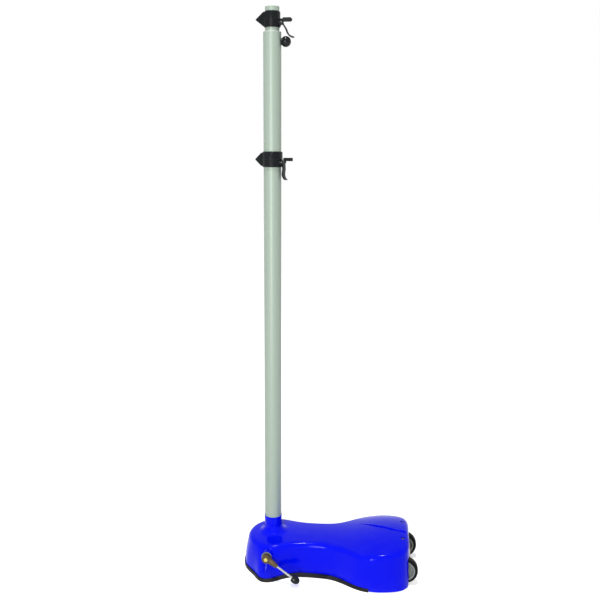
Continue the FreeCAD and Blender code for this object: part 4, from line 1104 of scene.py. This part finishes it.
@dataclass
class Axle:
    """Axle, caps and spacers."""

    shop: Workshop

    def build(self) -> None:
        """Dresses the axle, and rounds its caps and spacers."""
        self.shop.dress("axle")
        self.shop.soften("axle_caps", "wheel_spacers")


@dataclass
class Mast:
    """Both tubes, their plugs and the height clamp."""

    shop: Workshop
    ball_steps: int = 28
    ball_facets: int = 56

    def build(self) -> None:
        """Dresses the tubes, rounds the plugs and turns the ball."""
        self.shop.dress("main_tube", "inner_tube", "inner_glide", "mast_foot_plug", "knob_tip",
                        "knob_screw")
        self.shop.soften("guide_bush", "inner_cap", "knob_insert")
        self.ball_knob()

    def ball_knob(self) -> None:
        """Ball of the height clamp, flat towards the mast."""
        low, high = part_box("ball_knob")
        radius = (high.z - low.z) / 2
        centre_x = high.x - radius
        bore = half_sizes(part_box("knob_screw"))[2] + FIT
        flat = low.x - centre_x
        first = math.acos(flat / radius)
        turns = [first * (1 - i / self.ball_steps) for i in range(self.ball_steps)]
        arc = [(radius * math.cos(turn), radius * math.sin(turn)) for turn in turns]
        profile = [(0.0, 0.0), (0.0, bore), (flat, bore), *arc, (radius, 0.0)]
        start = Vector((centre_x, 0, (low.z + high.z) / 2))
        piece = lathe("ball_knob_form", profile, start, Direction.ALONG, self.ball_facets)
        self.shop.hand_over(piece, "ball_knob", "black_bakelite", "ball_knob")


@dataclass
class NetCollar:
    """One cord collar with its clamp lever and peg."""

    shop: Workshop
    name: str

    def build(self) -> None:
        """Rounds the collar and its lever, and dresses the rest."""
        self.shop.soften(self.name + "_collar", self.name + "_lever", self.name + "_lever_pin")
        self.shop.dress(self.name + "_peg_stud", self.name + "_collar_pad", self.name + "_peg_grip")


# ---------------------------------------------------------------- studio
@dataclass(frozen=True)
class Softbox:
    """Rectangular lamp."""

    name: str
    place: Vector
    target: Vector
    size: tuple[float, float]
    watts: float

    def build(self) -> None:
        """Adds the lamp."""
        data = bpy.data.lights.new(self.name, "AREA")
        data.shape = "RECTANGLE"
        data.size, data.size_y = self.size
        data.energy = self.watts
        lamp = bpy.data.objects.new(self.name, data)
        bpy.context.scene.collection.objects.link(lamp)
        turn = (self.target - self.place).to_track_quat("-Z", "Y").to_matrix().to_4x4()
        lamp.matrix_world = Matrix.Translation(self.place) @ turn


SOFTBOXES = (
    Softbox("front_strip", Vector((-0.55, -3.7, 1.15)), Vector((0.05, 0, 0.7)), (0.65, 2.2), 66.0),
    Softbox("overhead_softbox", Vector((0.05, -1.2, 4.9)), Vector((0.15, 0, 0.1)), (0.6, 0.6), 128.0),
)


@dataclass
class Studio:
    """Pale floor, soft lamps and the camera."""

    eye: Vector = Vector((0.3115, -1.983, 1.187))
    heading: Vector = Vector((-0.1167, 0.9932, 0))
    pitch_degrees: float = 10.9
    roll_degrees: float = 0.3
    lens: float = 43.56
    shift: tuple[float, float] = (-0.0008, 0.0008)
    sky_strength: float = 0.25
    floor_half: float = 12.0
    floor_albedo: float = 0.9
    floor_roughness: float = 0.9
    floor_brightness: float = 1.02
    near_glow: float = 0.58
    near_radius: float = 0.7
    far_radius: float = 3.0

    def build(self) -> None:
        """Sets the stage."""
        bpy.context.scene.view_settings.view_transform = "Standard"
        self.floor()
        self.sky()
        for softbox in SOFTBOXES:
            softbox.build()
        self.camera()

    def camera(self) -> None:
        """Camera at chest height, tilted down."""
        data = bpy.data.cameras.new("camera")
        data.lens = self.lens
        data.shift_x, data.shift_y = self.shift
        camera = bpy.data.objects.new("camera", data)
        bpy.context.scene.collection.objects.link(camera)
        pitch = math.radians(self.pitch_degrees)
        aim = self.heading.normalized() * math.cos(pitch) - Vector((0, 0, math.sin(pitch)))
        turn = aim.to_track_quat("-Z", "Y").to_matrix().to_4x4()
        roll = Matrix.Rotation(math.radians(self.roll_degrees), 4, "Z")
        camera.matrix_world = Matrix.Translation(self.eye) @ turn @ roll
        bpy.context.scene.camera = camera

    @staticmethod
    def seen(graph: Graph) -> bpy.types.NodeSocket:
        """Whether the camera, a reflection or a glass piece sees a surface.

        Args:
            graph: The material's or the world's graph.

        Returns:
            A socket that is 1 where it is seen and 0 where it only lights.
        """
        path = graph.add("ShaderNodeLightPath").outputs
        mirrored = graph.math("MAXIMUM", path["Is Glossy Ray"], path["Is Transmission Ray"])
        return graph.math("MAXIMUM", path["Is Camera Ray"], mirrored)

    def sky(self) -> None:
        """Even light from all sides, white where it is seen."""
        world = bpy.data.worlds.new("studio_sky")
        bpy.context.scene.world = world
        world.use_nodes = True
        graph = Graph(world.node_tree)
        background = world.node_tree.nodes["Background"]
        graph.feed(WHITE, background.inputs["Color"])
        lift = 1.0 - self.sky_strength
        strength = graph.math("MULTIPLY_ADD", self.seen(graph), lift, self.sky_strength)
        graph.feed(strength, background.inputs["Strength"])

    def floor(self) -> None:
        """Plain floor that is white where it is seen, but for the object's shadow."""
        mesh = bpy.data.meshes.new("floor")
        half = self.floor_half
        corners = [(-half, -half, 0), (half, -half, 0), (half, half, 0), (-half, half, 0)]
        mesh.from_pydata(corners, [], [(0, 1, 2, 3)])
        floor = linked("floor", mesh)
        material = bpy.data.materials.new("floor_pale")
        material.use_nodes = True
        graph = Graph(material.node_tree)
        shader = material.node_tree.nodes["Principled BSDF"]
        pale = (self.floor_albedo, self.floor_albedo, self.floor_albedo, 1.0)
        distance = graph.add("ShaderNodeVectorMath", {0: graph.place()}, operation="LENGTH")
        far_glow = self.floor_brightness - self.floor_albedo * self.sky_strength
        glow = graph.ramp(distance.outputs["Value"], self.near_radius, self.far_radius,
                          self.near_glow, far_glow)
        strength = graph.math("MULTIPLY", self.seen(graph), glow)
        for key, value in {"Base Color": pale, "Roughness": self.floor_roughness,
                           "Specular IOR Level": 0.0, "Emission Color": WHITE,
                           "Emission Strength": strength}.items():
            graph.feed(value, shader.inputs[key])
        mesh.materials.append(material)


def main() -> None:
    """Builds the dressed model, piece by piece."""
    logging.basicConfig(level=logging.INFO, format="%(name)s: %(message)s")
    shop = Workshop()
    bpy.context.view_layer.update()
    Studio().build()
    for assembly in (WeightedBase(shop), ClampLever(shop), TransportWheel(shop, "left"),
                     TransportWheel(shop, "right"), Axle(shop), Mast(shop),
                     NetCollar(shop, "middle"), NetCollar(shop, "top")):
        assembly.build()


if __name__ == "__main__":
    main()
